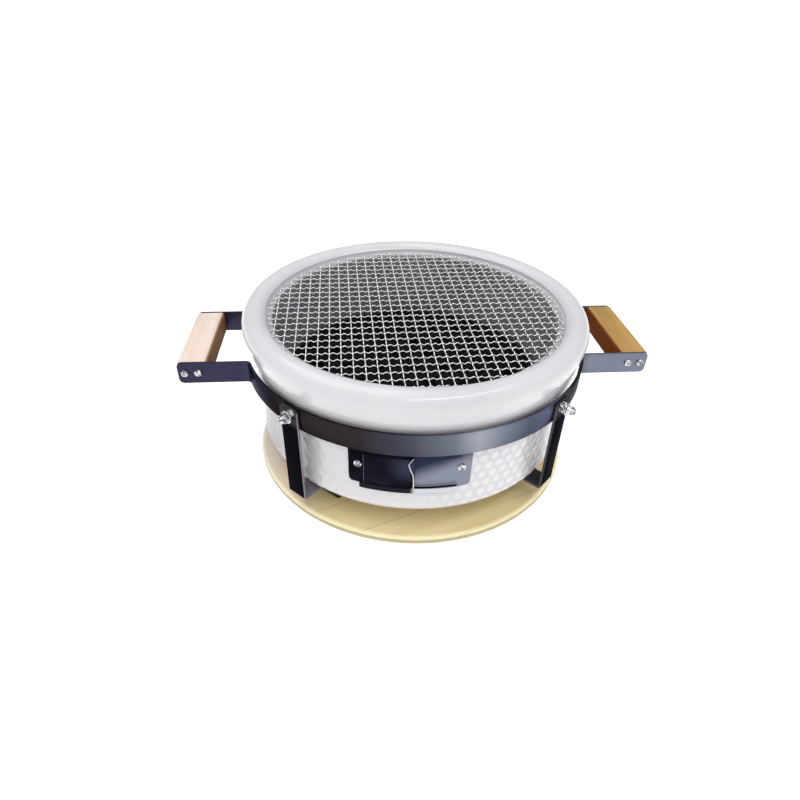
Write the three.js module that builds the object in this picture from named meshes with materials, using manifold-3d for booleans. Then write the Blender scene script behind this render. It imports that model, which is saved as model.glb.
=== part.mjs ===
// A table-top charcoal brazier: a glazed ceramic fire bowl in a steel cradle with two wooden
// handles, standing on a round wooden board. Millimetres, +Z up, the handles along X and the
// front legs towards -Y. The origin is the centre of the board's underside.
import * as THREE from "three";
import { mergeGeometries, mergeVertices } from "three/addons/utils/BufferGeometryUtils.js";
import Module from "manifold-3d";

const wasm = await Module();
wasm.setup();

// ---- Driving dimensions ----

// Clearances, how far a cutting piece runs past what it cuts, and how far joined ones run together
const cutReach = 5;
const joinReach = 1;
const seatGap = 0.3;
const holeGap = 0.3;
const slideGap = 0.4;

// Serving board
const boardMargin = 9.5;
const boardThickness = 10;
const boardEdgeRadius = 4;

// Cradle: two crossed U straps that stand on rubber feet
const strapWidth = 22;
const strapThickness = 2.5;
const strapBend = 1.2;
const strapTopRadius = 4;
const bowlSeatHeight = 34;
const legAngle = 44;
const legTopDrop = 1.5;
const rivetShank = 3;
const rivetHead = 5.5;
const rivetHeadHeight = 1.8;

// Rubber feet under the straps
const footLength = 41;
const footWidth = 17;
const footCorner = 3;
const footInset = 41.5;
const footScrewShank = 2;
const footScrewHead = 4;
const footScrewLength = 13;
const footScrewSink = 2;

// Band round the bowl, in two halves whose ends turn out as ears
const bandStandOff = 9.5;
const bandThickness = 2.5;
const bandBottom = 116;
const bandHeight = 23;
const bandBend = 6;
const earCorner = 5;

// Wooden handles between the ears
const handleReach = 238;
const handleLength = 103.6;
const handleWidth = 29;
const handleEdgeRadius = 4;

// Screws through the ears into the ends of the handles
const handleScrewInset = 6.5;
const handleScrewSpacing = 13;
const handleScrewShank = 2;
const handleScrewHead = 4;
const handleScrewHeadHeight = 2.2;
const handleScrewLength = 20;
const screwPointLength = 1.5;

// Bolts that hold the legs to the band, each with a hex nut, a washer and a cap nut. They sit high
// on the legs and a little towards the front or the rear.
const legBoltAngle = 42.5;
const legBoltDrop = 6.3;
const boltShank = 2.5;
const boltHead = 5;
const boltHeadHeight = 3;
const nutAcrossFlats = 10;
const nutHeight = 5;
const washerRadius = 6.2;
const washerThickness = 1.2;
const capAcrossFlats = 8;
const capHexHeight = 4;
const capDomeHeight = 3.8;
const capWall = 2.2;

// Ceramic bowl
const bodyRadius = 165.5;
const bellySwell = 1.5;
const baseCornerRadius = 17;
const baseRingWidth = 46.5;
const baseRecessDepth = 4.7;
const baseRingBevel = 3;
const neckDraw = 2;
const neckRise = 3.5;
const neckTaperShare = 0.4;
const neckFlare = [[1.7, 7.5], [6, 20.5], [11, 31.3]];
const lipWidth = 25.4;
const lipTopRise = 12;
const floorThickness = 18.7;
const floorInset = 26;
const floorRound = 5;
const innerWallTaper = 7;
const netLedgeWidth = 5.6;
const wallJointGap = 0.05;
const bowlTurn = -6.5;

// Charcoal grate inside the bowl
const grateSeatHeight = 89.7;
const grateRimGap = 1.5;
const grateThickness = 2.5;
const grateLedgeWidth = 9;
const grateHoleRadius = 7;
const grateHolePitch = 36;
const grateHoleRings = 3;
const grateHoleSides = 8;

// Cooking net on the ledge inside the lip
const netSeatHeight = 165;
const netInset = 12.9;
const netPitch = 17;
const netWire = 2.2;
const netDepth = 2.5;
const netRimGap = 1.6;

// Air vent low on the front of the bowl
const ventHalfAngle = 19.6;
const ventSheet = 1.2;
const ventBottom = 68;
const ventTop = 114;
const ventCorner = 5;
const ventMargin = 1;
const railHalfAngle = 15.6;
const railFoot = 3.2;
const railLip = 3;
const railTopLip = 8.5;
const railRoof = 4.5;
const windowLeft = -13.2;
const windowRight = -1.6;
const windowBottom = 70;
const windowTop = 86;
const doorSheet = 1.3;
const doorLeft = -14.4;
const doorRight = 1.3;
const finThickness = 1.3;
const finReach = 3.6;
const finTopRise = 2.6;
const finNeck = 0.6;
const finTaper = 8;
const finLean = 5.5;
const finLeanRise = 18;
const ventScrewAngle = 16.3;
const ventScrewHeight = 91;
const ventScrewShank = 2;
const ventScrewHead = 4.2;
const ventScrewHeadHeight = 2.2;
const ventScrewLength = 12;

// Fineness of round shapes
const ringSegments = 48;
const smallSegments = 12;
const cornerSegments = 4;
const sectorStep = 3.5;
const bandSegments = 24;

// ---- Materials ----

const glazedCeramic = new THREE.MeshStandardMaterial({ color: 0xe6e4e6, roughness: 0.25, metalness: 0 });
const blackSteel = new THREE.MeshStandardMaterial({ color: 0x1d1c22, roughness: 0.5, metalness: 0.6 });
const bandSteel = new THREE.MeshStandardMaterial({ color: 0x3a3436, roughness: 0.4, metalness: 0.7 });
const ventSteel = new THREE.MeshStandardMaterial({ color: 0x1a1c2a, roughness: 0.45, metalness: 0.5 });
const brightZinc = new THREE.MeshStandardMaterial({ color: 0xc8c8cc, roughness: 0.25, metalness: 0.9 });
const stainlessWire = new THREE.MeshStandardMaterial({ color: 0xc4c4c8, roughness: 0.3, metalness: 0.9 });
const bambooWood = new THREE.MeshStandardMaterial({ color: 0xcdb67a, roughness: 0.5, metalness: 0 });
const handleWood = new THREE.MeshStandardMaterial({ color: 0xb8935a, roughness: 0.5, metalness: 0 });
const footRubber = new THREE.MeshStandardMaterial({ color: 0x141414, roughness: 0.8, metalness: 0 });
const grateIron = new THREE.MeshStandardMaterial({ color: 0x161616, roughness: 0.75, metalness: 0.4 });

// ---- Geometry helpers ----

const degrees = (angle) => (angle * Math.PI) / 180;

// A closed geometry as a solid that can be joined and cut.
function solidOf(geometry) {
  const bare = new THREE.BufferGeometry();
  const source = geometry.index ? geometry.toNonIndexed() : geometry;
  bare.setAttribute("position", source.getAttribute("position").clone());
  const merged = mergeVertices(bare, 1e-4);
  const index = merged.index.array;
  const kept = [];
  for (let i = 0; i < index.length; i += 3) {
    const [a, b, c] = [index[i], index[i + 1], index[i + 2]];
    if (a !== b && b !== c && c !== a) {
      kept.push(a, b, c);
    }
  }
  return new wasm.Manifold(
    new wasm.Mesh({
      numProp: 3,
      vertProperties: new Float32Array(merged.attributes.position.array),
      triVerts: new Uint32Array(kept),
    }),
  );
}

function geometryOf(solid) {
  const mesh = solid.getMesh();
  const geometry = new THREE.BufferGeometry();
  geometry.setAttribute("position", new THREE.BufferAttribute(new Float32Array(mesh.vertProperties), 3));
  geometry.setIndex(new THREE.BufferAttribute(new Uint32Array(mesh.triVerts), 1));
  geometry.computeVertexNormals();
  return geometry;
}

function joined(first, ...others) {
  return geometryOf(others.reduce((sum, other) => sum.add(solidOf(other)), solidOf(first)));
}

function cut(body, ...tools) {
  return geometryOf(tools.reduce((rest, tool) => rest.subtract(solidOf(tool)), solidOf(body)));
}

function common(first, second) {
  return geometryOf(solidOf(first).intersect(solidOf(second)));
}

// A solid of revolution about +Z. The profile is a list of [radius, height], from the axis at
// the bottom, round the outside and back to the axis at the top.
function turned(profile, segments) {
  const points = profile.map(([radius, height]) => new THREE.Vector2(radius, height));
  const geometry = new THREE.LatheGeometry(points, segments);
  geometry.rotateX(Math.PI / 2);
  return geometry;
}

// Profile points on an arc in the (radius, height) plane, from one angle to another.
function profileArc(centreRadius, centreHeight, arcRadius, fromAngle, toAngle, steps) {
  const points = [];
  for (let step = 0; step <= steps; step += 1) {
    const angle = degrees(fromAngle + ((toAngle - fromAngle) * step) / steps);
    points.push([centreRadius + arcRadius * Math.cos(angle), centreHeight + arcRadius * Math.sin(angle)]);
  }
  return points;
}

// Adds an arc to an outline as straight steps. Angles are in radians.
function stepArc(shape, centreX, centreY, radius, from, to, steps = cornerSegments) {
  for (let step = 0; step <= steps; step += 1) {
    const angle = from + ((to - from) * step) / steps;
    shape.lineTo(centreX + radius * Math.cos(angle), centreY + radius * Math.sin(angle));
  }
}

// A flat outline pushed up from one height to another.
function pushed(shape, fromHeight, toHeight) {
  const geometry = new THREE.ExtrudeGeometry(shape, {
    depth: toHeight - fromHeight,
    bevelEnabled: false,
  });
  geometry.translate(0, 0, fromHeight);
  return geometry;
}

function roundedRectangle(left, bottom, width, height, radius) {
  const shape = new THREE.Shape();
  shape.moveTo(left + radius, bottom);
  stepArc(shape, left + width - radius, bottom + radius, radius, -Math.PI / 2, 0);
  stepArc(shape, left + width - radius, bottom + height - radius, radius, 0, Math.PI / 2);
  stepArc(shape, left + radius, bottom + height - radius, radius, Math.PI / 2, Math.PI);
  stepArc(shape, left + radius, bottom + radius, radius, Math.PI, Math.PI * 1.5);
  return shape;
}

// A sector of a ring about +Z. Angles are in degrees from the front (-Y), positive to the right.
function ringSector(innerRadius, outerRadius, leftAngle, rightAngle, bottom, top) {
  const from = degrees(leftAngle - 90);
  const to = degrees(rightAngle - 90);
  const steps = Math.ceil((rightAngle - leftAngle) / sectorStep);
  const shape = new THREE.Shape();
  shape.moveTo(outerRadius * Math.cos(from), outerRadius * Math.sin(from));
  stepArc(shape, 0, 0, outerRadius, from, to, steps);
  stepArc(shape, 0, 0, innerRadius, to, from, steps);
  return pushed(shape, bottom, top);
}

// A round bar along +Z.
function roundBar(radius, bottom, top, segments = smallSegments) {
  const geometry = new THREE.CylinderGeometry(radius, radius, top - bottom, segments);
  geometry.rotateX(Math.PI / 2);
  geometry.translate(0, 0, (top + bottom) / 2);
  return geometry;
}

function hexBar(acrossFlats, bottom, top) {
  return roundBar(acrossFlats / Math.sqrt(3), bottom, top, 6);
}

// Turns a piece made along +Z so that it points outwards along the radius at an angle from the
// front, at a height. What was at Z = r comes to lie at radius r.
function pointOutwards(geometry, angle, height) {
  geometry.rotateX(Math.PI / 2);
  geometry.rotateZ(degrees(angle));
  geometry.translate(0, 0, height);
  return geometry;
}

// ---- The object ----

const brazier = new THREE.Group();

function addPart(name, geometry, material, parent = brazier) {
  const mesh = new THREE.Mesh(geometry, material);
  mesh.name = name;
  parent.add(mesh);
  return mesh;
}

// Radii that follow from the bowl's body
const boardRadius = bodyRadius + boardMargin;
const netRadius = bodyRadius - netInset;
const bandInnerRadius = bodyRadius + bandStandOff;
const bandOuterRadius = bandInnerRadius + bandThickness;
const footRadius = bandOuterRadius - footInset;
const lipOuterRadius = netRadius + lipWidth;
const innerMouthRadius = netRadius - netLedgeWidth;
const innerWallRadius = innerMouthRadius - innerWallTaper;
const floorRadius = innerWallRadius - floorInset;
const grateRadius = innerWallRadius - grateRimGap;

// Serving board: one turned disc with rounded edges.
function makeBoard() {
  const edgeCentre = boardRadius - boardEdgeRadius;
  return turned(
    [
      [0, 0],
      ...profileArc(edgeCentre, boardEdgeRadius, boardEdgeRadius, -90, 0, 3),
      ...profileArc(edgeCentre, boardThickness - boardEdgeRadius, boardEdgeRadius, 0, 90, 3),
      [0, boardThickness],
    ],
    ringSegments,
  );
}
addPart("base_board", makeBoard(), bambooWood);

// Cradle straps. The upper strap carries the bowl, the lower one crosses under it.
const bandTop = bandBottom + bandHeight;
const bandMiddle = bandBottom + bandHeight / 2;
const legBoltHeight = bandTop - legBoltDrop;
const legInnerRadius = bandOuterRadius + seatGap;
const legOuterRadius = legInnerRadius + strapThickness;
const strapTop = { upper: bowlSeatHeight, lower: bowlSeatHeight - strapThickness - seatGap };
const strapSide = { upper: 1, lower: -1 };

function makeStrap(which) {
  const top = strapTop[which];
  const bottom = top - strapThickness;
  const legTop = bandTop - legTopDrop;
  const innerBend = strapBend;
  const outerBend = strapBend + strapThickness;
  const outline = new THREE.Shape();
  outline.moveTo(-legOuterRadius, legTop);
  const quarter = Math.PI / 2;
  stepArc(outline, -legOuterRadius + outerBend, bottom + outerBend, outerBend, -2 * quarter, -quarter);
  stepArc(outline, legOuterRadius - outerBend, bottom + outerBend, outerBend, -quarter, 0);
  outline.lineTo(legOuterRadius, legTop);
  outline.lineTo(legInnerRadius, legTop);
  stepArc(outline, legInnerRadius - innerBend, top + innerBend, innerBend, 0, -quarter);
  stepArc(outline, -legInnerRadius + innerBend, top + innerBend, innerBend, -quarter, -2 * quarter);
  outline.lineTo(-legInnerRadius, legTop);
  const bent = pushed(outline, -strapWidth / 2, strapWidth / 2);
  bent.rotateX(Math.PI / 2);
  const face = roundedRectangle(
    -strapWidth / 2,
    bottom - strapTopRadius * 2,
    strapWidth,
    legTop - bottom + strapTopRadius * 2,
    strapTopRadius,
  );
  const mask = pushed(face, -legOuterRadius - cutReach, legOuterRadius + cutReach);
  mask.rotateX(Math.PI / 2);
  mask.rotateZ(Math.PI / 2);
  const boltHole = roundBar(boltShank + holeGap, -legOuterRadius - cutReach, legOuterRadius + cutReach);
  boltHole.rotateY(Math.PI / 2);
  boltHole.rotateZ(degrees(strapSide[which] * (legBoltAngle - legAngle)));
  boltHole.translate(0, 0, legBoltHeight);
  const tools = [boltHole, roundBar(rivetShank + holeGap, bottom - cutReach, top + cutReach)];
  for (const side of [-1, 1]) {
    const screwHole = turned(
      [
        [0, bottom - cutReach],
        [footScrewShank + holeGap, bottom - cutReach],
        [footScrewShank + holeGap, top - footScrewSink],
        [footScrewHead + holeGap, top],
        [footScrewHead + holeGap, top + cutReach],
        [0, top + cutReach],
      ],
      smallSegments,
    );
    screwHole.translate(side * footRadius, 0, 0);
    tools.push(screwHole);
  }
  const strap = cut(common(bent, mask), ...tools);
  // The outline runs along X, and the strap's angle is measured from the front, -Y.
  strap.rotateZ(degrees(strapSide[which] * legAngle - 90));
  return strap;
}
addPart("cradle_strap_upper", makeStrap("upper"), blackSteel);
addPart("cradle_strap_lower", makeStrap("lower"), blackSteel);

// Rivet that joins the straps where they cross.
function makeRivet() {
  const gripBottom = strapTop.lower - strapThickness - seatGap;
  const gripTop = strapTop.upper + seatGap;
  return turned(
    [
      [0, gripBottom - rivetHeadHeight],
      [rivetHead * 0.7, gripBottom - rivetHeadHeight],
      [rivetHead, gripBottom],
      [rivetShank, gripBottom],
      [rivetShank, gripTop],
      [rivetHead, gripTop],
      [rivetHead * 0.7, gripTop + rivetHeadHeight],
      [0, gripTop + rivetHeadHeight],
    ],
    smallSegments,
  );
}
addPart("cross_rivet", makeRivet(), brightZinc);

// Rubber feet and their countersunk screws, at the four strap ends.
const corners = [
  { name: "front_right", angle: legAngle, boltAngle: legBoltAngle, strap: "upper" },
  { name: "rear_right", angle: 180 - legAngle, boltAngle: 180 - legBoltAngle, strap: "lower" },
  { name: "rear_left", angle: 180 + legAngle, boltAngle: 180 + legBoltAngle, strap: "upper" },
  { name: "front_left", angle: -legAngle, boltAngle: -legBoltAngle, strap: "lower" },
];

function makeFoot(corner) {
  const top = strapTop[corner.strap] - strapThickness - seatGap;
  const bottom = boardThickness + seatGap;
  const block = pushed(
    roundedRectangle(-footLength / 2, -footRadius - footWidth / 2, footLength, footWidth, footCorner),
    bottom,
    top,
  );
  const screwTip = strapTop[corner.strap] - footScrewLength;
  const hole = roundBar(footScrewShank + holeGap, screwTip - holeGap, top + cutReach);
  hole.translate(0, -footRadius, 0);
  return cut(block, hole).rotateZ(degrees(corner.angle));
}

function makeFootScrew(corner) {
  const top = strapTop[corner.strap] - holeGap;
  const screw = turned(
    [
      [0, top + holeGap - footScrewLength],
      [footScrewShank, top + holeGap - footScrewLength],
      [footScrewShank, top - footScrewSink],
      [footScrewHead, top],
      [0, top],
    ],
    smallSegments,
  );
  screw.translate(0, -footRadius, 0);
  return screw.rotateZ(degrees(corner.angle));
}

for (const corner of corners) {
  addPart(`foot_${corner.name}`, makeFoot(corner), footRubber);
  addPart(`foot_screw_${corner.name}`, makeFootScrew(corner), brightZinc);
}

// Band halves. The centre line of the sheet is an arc round the bowl that turns out, through a
// small bend, into a straight ear at each end.
const earOuterFace = handleLength / 2 + seatGap + bandThickness;
const earInnerFace = earOuterFace - bandThickness;
const handleCentreX = handleReach - handleWidth / 2;
const handleScrewX = [handleReach - handleScrewInset, handleReach - handleScrewInset - handleScrewSpacing];

function makeFrontBand() {
  const bendOuter = bandBend - bandThickness / 2;
  const bendInner = bandBend + bandThickness / 2;
  const bendCentreY = earOuterFace + bendOuter;
  const bendCentreX = Math.sqrt((bandOuterRadius + bendOuter) ** 2 - bendCentreY ** 2);
  const lean = Math.atan2(bendCentreY, bendCentreX);
  const quarter = Math.PI / 2;
  const outline = new THREE.Shape();
  outline.moveTo(-handleReach, -earOuterFace);
  stepArc(outline, -bendCentreX, -bendCentreY, bendOuter, quarter, lean);
  stepArc(outline, 0, 0, bandOuterRadius, 2 * quarter + lean, 4 * quarter - lean, bandSegments);
  stepArc(outline, bendCentreX, -bendCentreY, bendOuter, 2 * quarter - lean, quarter);
  outline.lineTo(handleReach, -earOuterFace);
  outline.lineTo(handleReach, -earInnerFace);
  stepArc(outline, bendCentreX, -bendCentreY, bendInner, quarter, 2 * quarter - lean);
  stepArc(outline, 0, 0, bandInnerRadius, 4 * quarter - lean, 2 * quarter + lean, bandSegments);
  stepArc(outline, -bendCentreX, -bendCentreY, bendInner, lean, quarter);
  outline.lineTo(-handleReach, -earInnerFace);
  const sheet = pushed(outline, bandBottom, bandTop);
  const face = roundedRectangle(-handleReach, bandBottom, handleReach * 2, bandHeight, earCorner);
  const mask = pushed(face, 0, bandOuterRadius + cutReach);
  mask.rotateX(Math.PI / 2);
  const tools = [-legBoltAngle, legBoltAngle].map((angle) =>
    pointOutwards(
      roundBar(boltShank + holeGap, bandInnerRadius - cutReach, bandOuterRadius + cutReach),
      angle,
      legBoltHeight,
    ),
  );
  for (const side of [-1, 1]) {
    for (const x of handleScrewX) {
      const hole = roundBar(handleScrewShank + holeGap, earInnerFace - cutReach, earOuterFace + cutReach);
      hole.rotateX(Math.PI / 2);
      hole.translate(side * x, 0, bandMiddle);
      tools.push(hole);
    }
  }
  return cut(common(sheet, mask), ...tools);
}
addPart("band_front", makeFrontBand(), bandSteel);
addPart("band_rear", makeFrontBand().rotateZ(Math.PI), bandSteel);

// Wooden handles, and the screws that hold them between the ears.
function makeHandle(side) {
  const section = roundedRectangle(
    handleCentreX - handleWidth / 2,
    bandBottom,
    handleWidth,
    bandHeight,
    handleEdgeRadius,
  );
  const bar = pushed(section, -handleLength / 2, handleLength / 2);
  bar.rotateX(Math.PI / 2);
  const tools = [];
  for (const end of [-1, 1]) {
    for (const x of handleScrewX) {
      const depth = handleScrewLength - bandThickness;
      const barEnd = handleLength / 2;
      const hole = roundBar(handleScrewShank + holeGap, barEnd - depth, barEnd + cutReach);
      hole.rotateX((end * Math.PI) / 2);
      hole.translate(x, 0, bandMiddle);
      tools.push(hole);
    }
  }
  const handle = cut(bar, ...tools);
  return side < 0 ? handle.rotateZ(Math.PI) : handle;
}
addPart("handle_right", makeHandle(1), handleWood);
addPart("handle_left", makeHandle(-1), handleWood);

function makePanScrew(shank, head, headHeight, length) {
  return turned(
    [
      [0, -length],
      [shank * 0.6, -length],
      [shank, screwPointLength - length],
      [shank, 0],
      [head, 0],
      [head, headHeight * 0.4],
      [head * 0.75, headHeight * 0.85],
      [head * 0.35, headHeight],
      [0, headHeight],
    ],
    smallSegments,
  );
}

for (const [sideName, sideSign] of [["left", -1], ["right", 1]]) {
  for (const [endName, endSign] of [["front", -1], ["rear", 1]]) {
    handleScrewX.forEach((x, index) => {
      const screw = makePanScrew(
        handleScrewShank,
        handleScrewHead,
        handleScrewHeadHeight,
        handleScrewLength - bandThickness - holeGap,
      );
      screw.translate(0, 0, earOuterFace + seatGap);
      screw.rotateX((-endSign * Math.PI) / 2);
      screw.translate(sideSign * x, 0, bandMiddle);
      const place = index === 0 ? "outer" : "inner";
      addPart(`handle_screw_${sideName}_${endName}_${place}`, screw, brightZinc);
    });
  }
}

// Leg bolts: the head is inside the band, and the nuts are stacked outside the leg.
const nutStart = legOuterRadius + seatGap;
const washerStart = nutStart + nutHeight + seatGap;
const capStart = washerStart + washerThickness + seatGap;
const boltEnd = capStart + capHexHeight + capDomeHeight - capWall - holeGap;

function makeLegBolt() {
  const headBase = bandInnerRadius - seatGap;
  return turned(
    [
      [0, headBase - boltHeadHeight],
      [boltHead * 0.6, headBase - boltHeadHeight],
      [boltHead, headBase - boltHeadHeight * 0.4],
      [boltHead, headBase],
      [boltShank, headBase],
      [boltShank, boltEnd],
      [0, boltEnd],
    ],
    smallSegments,
  );
}

function makeHexNut() {
  const bore = roundBar(boltShank + holeGap, nutStart - cutReach, nutStart + nutHeight + cutReach);
  return cut(hexBar(nutAcrossFlats, nutStart, nutStart + nutHeight), bore);
}

function makeWasher() {
  const washerEnd = washerStart + washerThickness;
  const bore = roundBar(boltShank + holeGap, washerStart - cutReach, washerEnd + cutReach);
  return cut(roundBar(washerRadius, washerStart, washerEnd), bore);
}

function makeCapNut() {
  const domeRadius = capAcrossFlats / 2;
  const domeStart = capStart + capHexHeight;
  const dome = turned(
    [
      [0, domeStart - joinReach],
      [domeRadius, domeStart - joinReach],
      [domeRadius, domeStart],
      [domeRadius * 0.92, domeStart + capDomeHeight * 0.4],
      [domeRadius * 0.6, domeStart + capDomeHeight * 0.85],
      [0, domeStart + capDomeHeight],
    ],
    smallSegments,
  );
  const bore = roundBar(boltShank + holeGap, capStart - cutReach, boltEnd + holeGap);
  return cut(joined(hexBar(capAcrossFlats, capStart, domeStart), dome), bore);
}

for (const corner of corners) {
  const place = (geometry) => pointOutwards(geometry, corner.boltAngle, legBoltHeight);
  addPart(`leg_bolt_${corner.name}`, place(makeLegBolt()), brightZinc);
  addPart(`hex_nut_${corner.name}`, place(makeHexNut()), brightZinc);
  addPart(`washer_${corner.name}`, place(makeWasher()), brightZinc);
  addPart(`cap_nut_${corner.name}`, place(makeCapNut()), brightZinc);
}

// The bowl and what it carries sit in the cradle, turned a little so that the vent faces the cook.
const bowlGroup = new THREE.Group();
bowlGroup.rotation.z = degrees(bowlTurn);
brazier.add(bowlGroup);

const ventInner = bodyRadius + seatGap;
const plateOuter = ventInner + ventSheet;
const doorInner = plateOuter + slideGap;
const doorOuter = doorInner + doorSheet;
const railInner = doorOuter + slideGap;
const railOuter = railInner + ventSheet;
const railBottom = ventBottom - railFoot;
const lipRadius = lipWidth / 2;
const lipCentreRadius = lipOuterRadius - lipRadius;
const lipCentreHeight = netSeatHeight + lipTopRise - lipRadius;

function ventScrewHole(angle) {
  const deepest = plateOuter - ventScrewLength - holeGap;
  const drill = roundBar(ventScrewShank + holeGap, deepest, plateOuter + cutReach);
  return pointOutwards(drill, angle, ventScrewHeight);
}

// Fire bowl: thick glazed ceramic with a foot ring, a belly, a neck under a rolled lip, a ledge
// for the cooking net, a ledge for the charcoal grate and an air window low on the front. It is
// one piece of ceramic, built here as four stacked rings.
const bowlBase = bowlSeatHeight + seatGap;
const floorHeight = bowlBase + floorThickness;
const bellyHeight = bowlBase + baseCornerRadius;
const neckHeight = bandBottom + neckRise;
const neckRadius = bodyRadius - neckDraw;

function makeBowlBase() {
  const recessRadius = bodyRadius - baseRingWidth;
  const cornerRadius = bodyRadius + bellySwell - baseCornerRadius;
  return turned(
    [
      [0, bowlBase + baseRecessDepth],
      [recessRadius, bowlBase + baseRecessDepth],
      [recessRadius + baseRingBevel, bowlBase],
      ...profileArc(cornerRadius, bellyHeight, baseCornerRadius, -90, 0, 3),
      [bodyRadius + bellySwell, floorHeight],
      [0, floorHeight],
    ],
    ringSegments,
  );
}
addPart("ceramic_base", makeBowlBase(), glazedCeramic, bowlGroup);

function makeAshWall() {
  const bottom = floorHeight + wallJointGap;
  const ring = turned(
    [
      [floorRadius, bottom],
      [bodyRadius + bellySwell, bottom],
      [bodyRadius, railBottom - ventMargin],
      [bodyRadius, grateSeatHeight],
      [innerWallRadius - grateLedgeWidth, grateSeatHeight],
      [floorRadius + floorRound, bottom + floorRound],
      [floorRadius, bottom],
    ],
    ringSegments,
  );
  const window = ringSector(
    floorRadius - cutReach,
    lipOuterRadius,
    windowLeft,
    windowRight,
    windowBottom,
    windowTop,
  );
  return cut(ring, window, ventScrewHole(-ventScrewAngle), ventScrewHole(ventScrewAngle));
}
addPart("ceramic_ash_wall", makeAshWall(), glazedCeramic, bowlGroup);

function makeFireWall() {
  const bottom = grateSeatHeight + wallJointGap;
  const ring = turned(
    [
      [innerWallRadius, bottom],
      [bodyRadius, bottom],
      [bodyRadius, ventTop + ventMargin],
      [neckRadius, neckHeight],
      [innerWallRadius + innerWallTaper * neckTaperShare, neckHeight],
      [innerWallRadius, bottom],
    ],
    ringSegments,
  );
  return cut(ring, ventScrewHole(-ventScrewAngle), ventScrewHole(ventScrewAngle));
}
addPart("ceramic_fire_wall", makeFireWall(), glazedCeramic, bowlGroup);

function makeNeckAndLip() {
  const bottom = neckHeight + wallJointGap;
  return turned(
    [
      [innerWallRadius + innerWallTaper * neckTaperShare, bottom],
      [neckRadius, bottom],
      ...neckFlare.map(([out, up]) => [neckRadius + out, neckHeight + up]),
      ...profileArc(lipCentreRadius, lipCentreHeight, lipRadius, -20, 150, 6),
      [netRadius + netRimGap, netSeatHeight],
      [innerMouthRadius, netSeatHeight],
      [innerWallRadius + innerWallTaper * neckTaperShare, bottom],
    ],
    ringSegments,
  );
}
addPart("ceramic_neck_and_lip", makeNeckAndLip(), glazedCeramic, bowlGroup);

// Vent frame: a curved back plate with a window, and a rail above and below for the door.
function makeVentFrame() {
  const halfWidth = plateOuter * Math.sin(degrees(ventHalfAngle)) + ventMargin;
  const sheet = ringSector(ventInner, plateOuter, -ventHalfAngle, ventHalfAngle, ventBottom, ventTop);
  const face = roundedRectangle(
    -halfWidth,
    ventBottom,
    halfWidth * 2,
    ventTop - ventBottom + ventCorner * 2,
    ventCorner,
  );
  const mask = pushed(face, 0, plateOuter + cutReach);
  mask.rotateX(Math.PI / 2);
  const plate = common(sheet, mask);
  const rails = [
    ringSector(ventInner, railOuter, -railHalfAngle, railHalfAngle, railBottom, ventBottom),
    ringSector(railInner, railOuter, -railHalfAngle, railHalfAngle, railBottom, ventBottom + railLip),
    ringSector(ventInner, railOuter, -railHalfAngle, railHalfAngle, ventTop - railRoof, ventTop),
    ringSector(railInner, railOuter, -railHalfAngle, railHalfAngle, ventTop - railTopLip, ventTop),
  ];
  const window = ringSector(
    ventInner - cutReach,
    plateOuter + cutReach,
    windowLeft,
    windowRight,
    windowBottom,
    windowTop,
  );
  return cut(
    joined(plate, ...rails),
    window,
    ventScrewHole(-ventScrewAngle),
    ventScrewHole(ventScrewAngle),
  );
}
addPart("vent_frame", makeVentFrame(), ventSteel, bowlGroup);

// Vent door: a curved sheet that slides between the rails, its right edge bent out as a finger fin.
function makeVentDoor() {
  const bottom = ventBottom + slideGap;
  const top = ventTop - railRoof - slideGap;
  const sheet = ringSector(doorInner, doorOuter, doorLeft, doorRight, bottom, top);
  const rootBottom = ventBottom + railLip + slideGap;
  const rootTop = ventTop - railTopLip - slideGap;
  const clearOfRail = railOuter + slideGap;
  const reach = clearOfRail + finReach;
  const outline = new THREE.Shape();
  outline.moveTo(doorInner + doorSheet / 2, rootBottom);
  outline.lineTo(clearOfRail + finNeck, rootBottom);
  outline.lineTo(reach, rootTop - finTaper);
  outline.lineTo(reach, rootTop);
  outline.lineTo(clearOfRail + finNeck, rootTop + finTopRise);
  outline.lineTo(clearOfRail, rootTop + finTopRise);
  outline.lineTo(clearOfRail, rootTop);
  outline.lineTo(doorInner + doorSheet / 2, rootTop);
  const fin = pushed(outline, -finThickness / 2, finThickness / 2);
  const corners = fin.getAttribute("position");
  for (let corner = 0; corner < corners.count; corner += 1) {
    // The fin's outer edge leans to the left, most at its top.
    const outwards = Math.max(0, corners.getX(corner) - clearOfRail) / finReach;
    const upwards = Math.max(0, corners.getY(corner) - rootTop + finLeanRise) / finLeanRise;
    corners.setZ(corner, corners.getZ(corner) + finLean * outwards * upwards);
  }
  fin.rotateX(Math.PI / 2);
  fin.rotateZ(degrees(doorRight - 90));
  return joined(sheet, fin);
}
addPart("vent_door", makeVentDoor(), ventSteel, bowlGroup);

for (const [sideName, sideSign] of [["left", -1], ["right", 1]]) {
  const screw = makePanScrew(ventScrewShank, ventScrewHead, ventScrewHeadHeight, ventScrewLength);
  screw.translate(0, 0, plateOuter + seatGap);
  pointOutwards(screw, sideSign * ventScrewAngle, ventScrewHeight);
  addPart(`vent_screw_${sideName}`, screw, brightZinc, bowlGroup);
}

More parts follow.
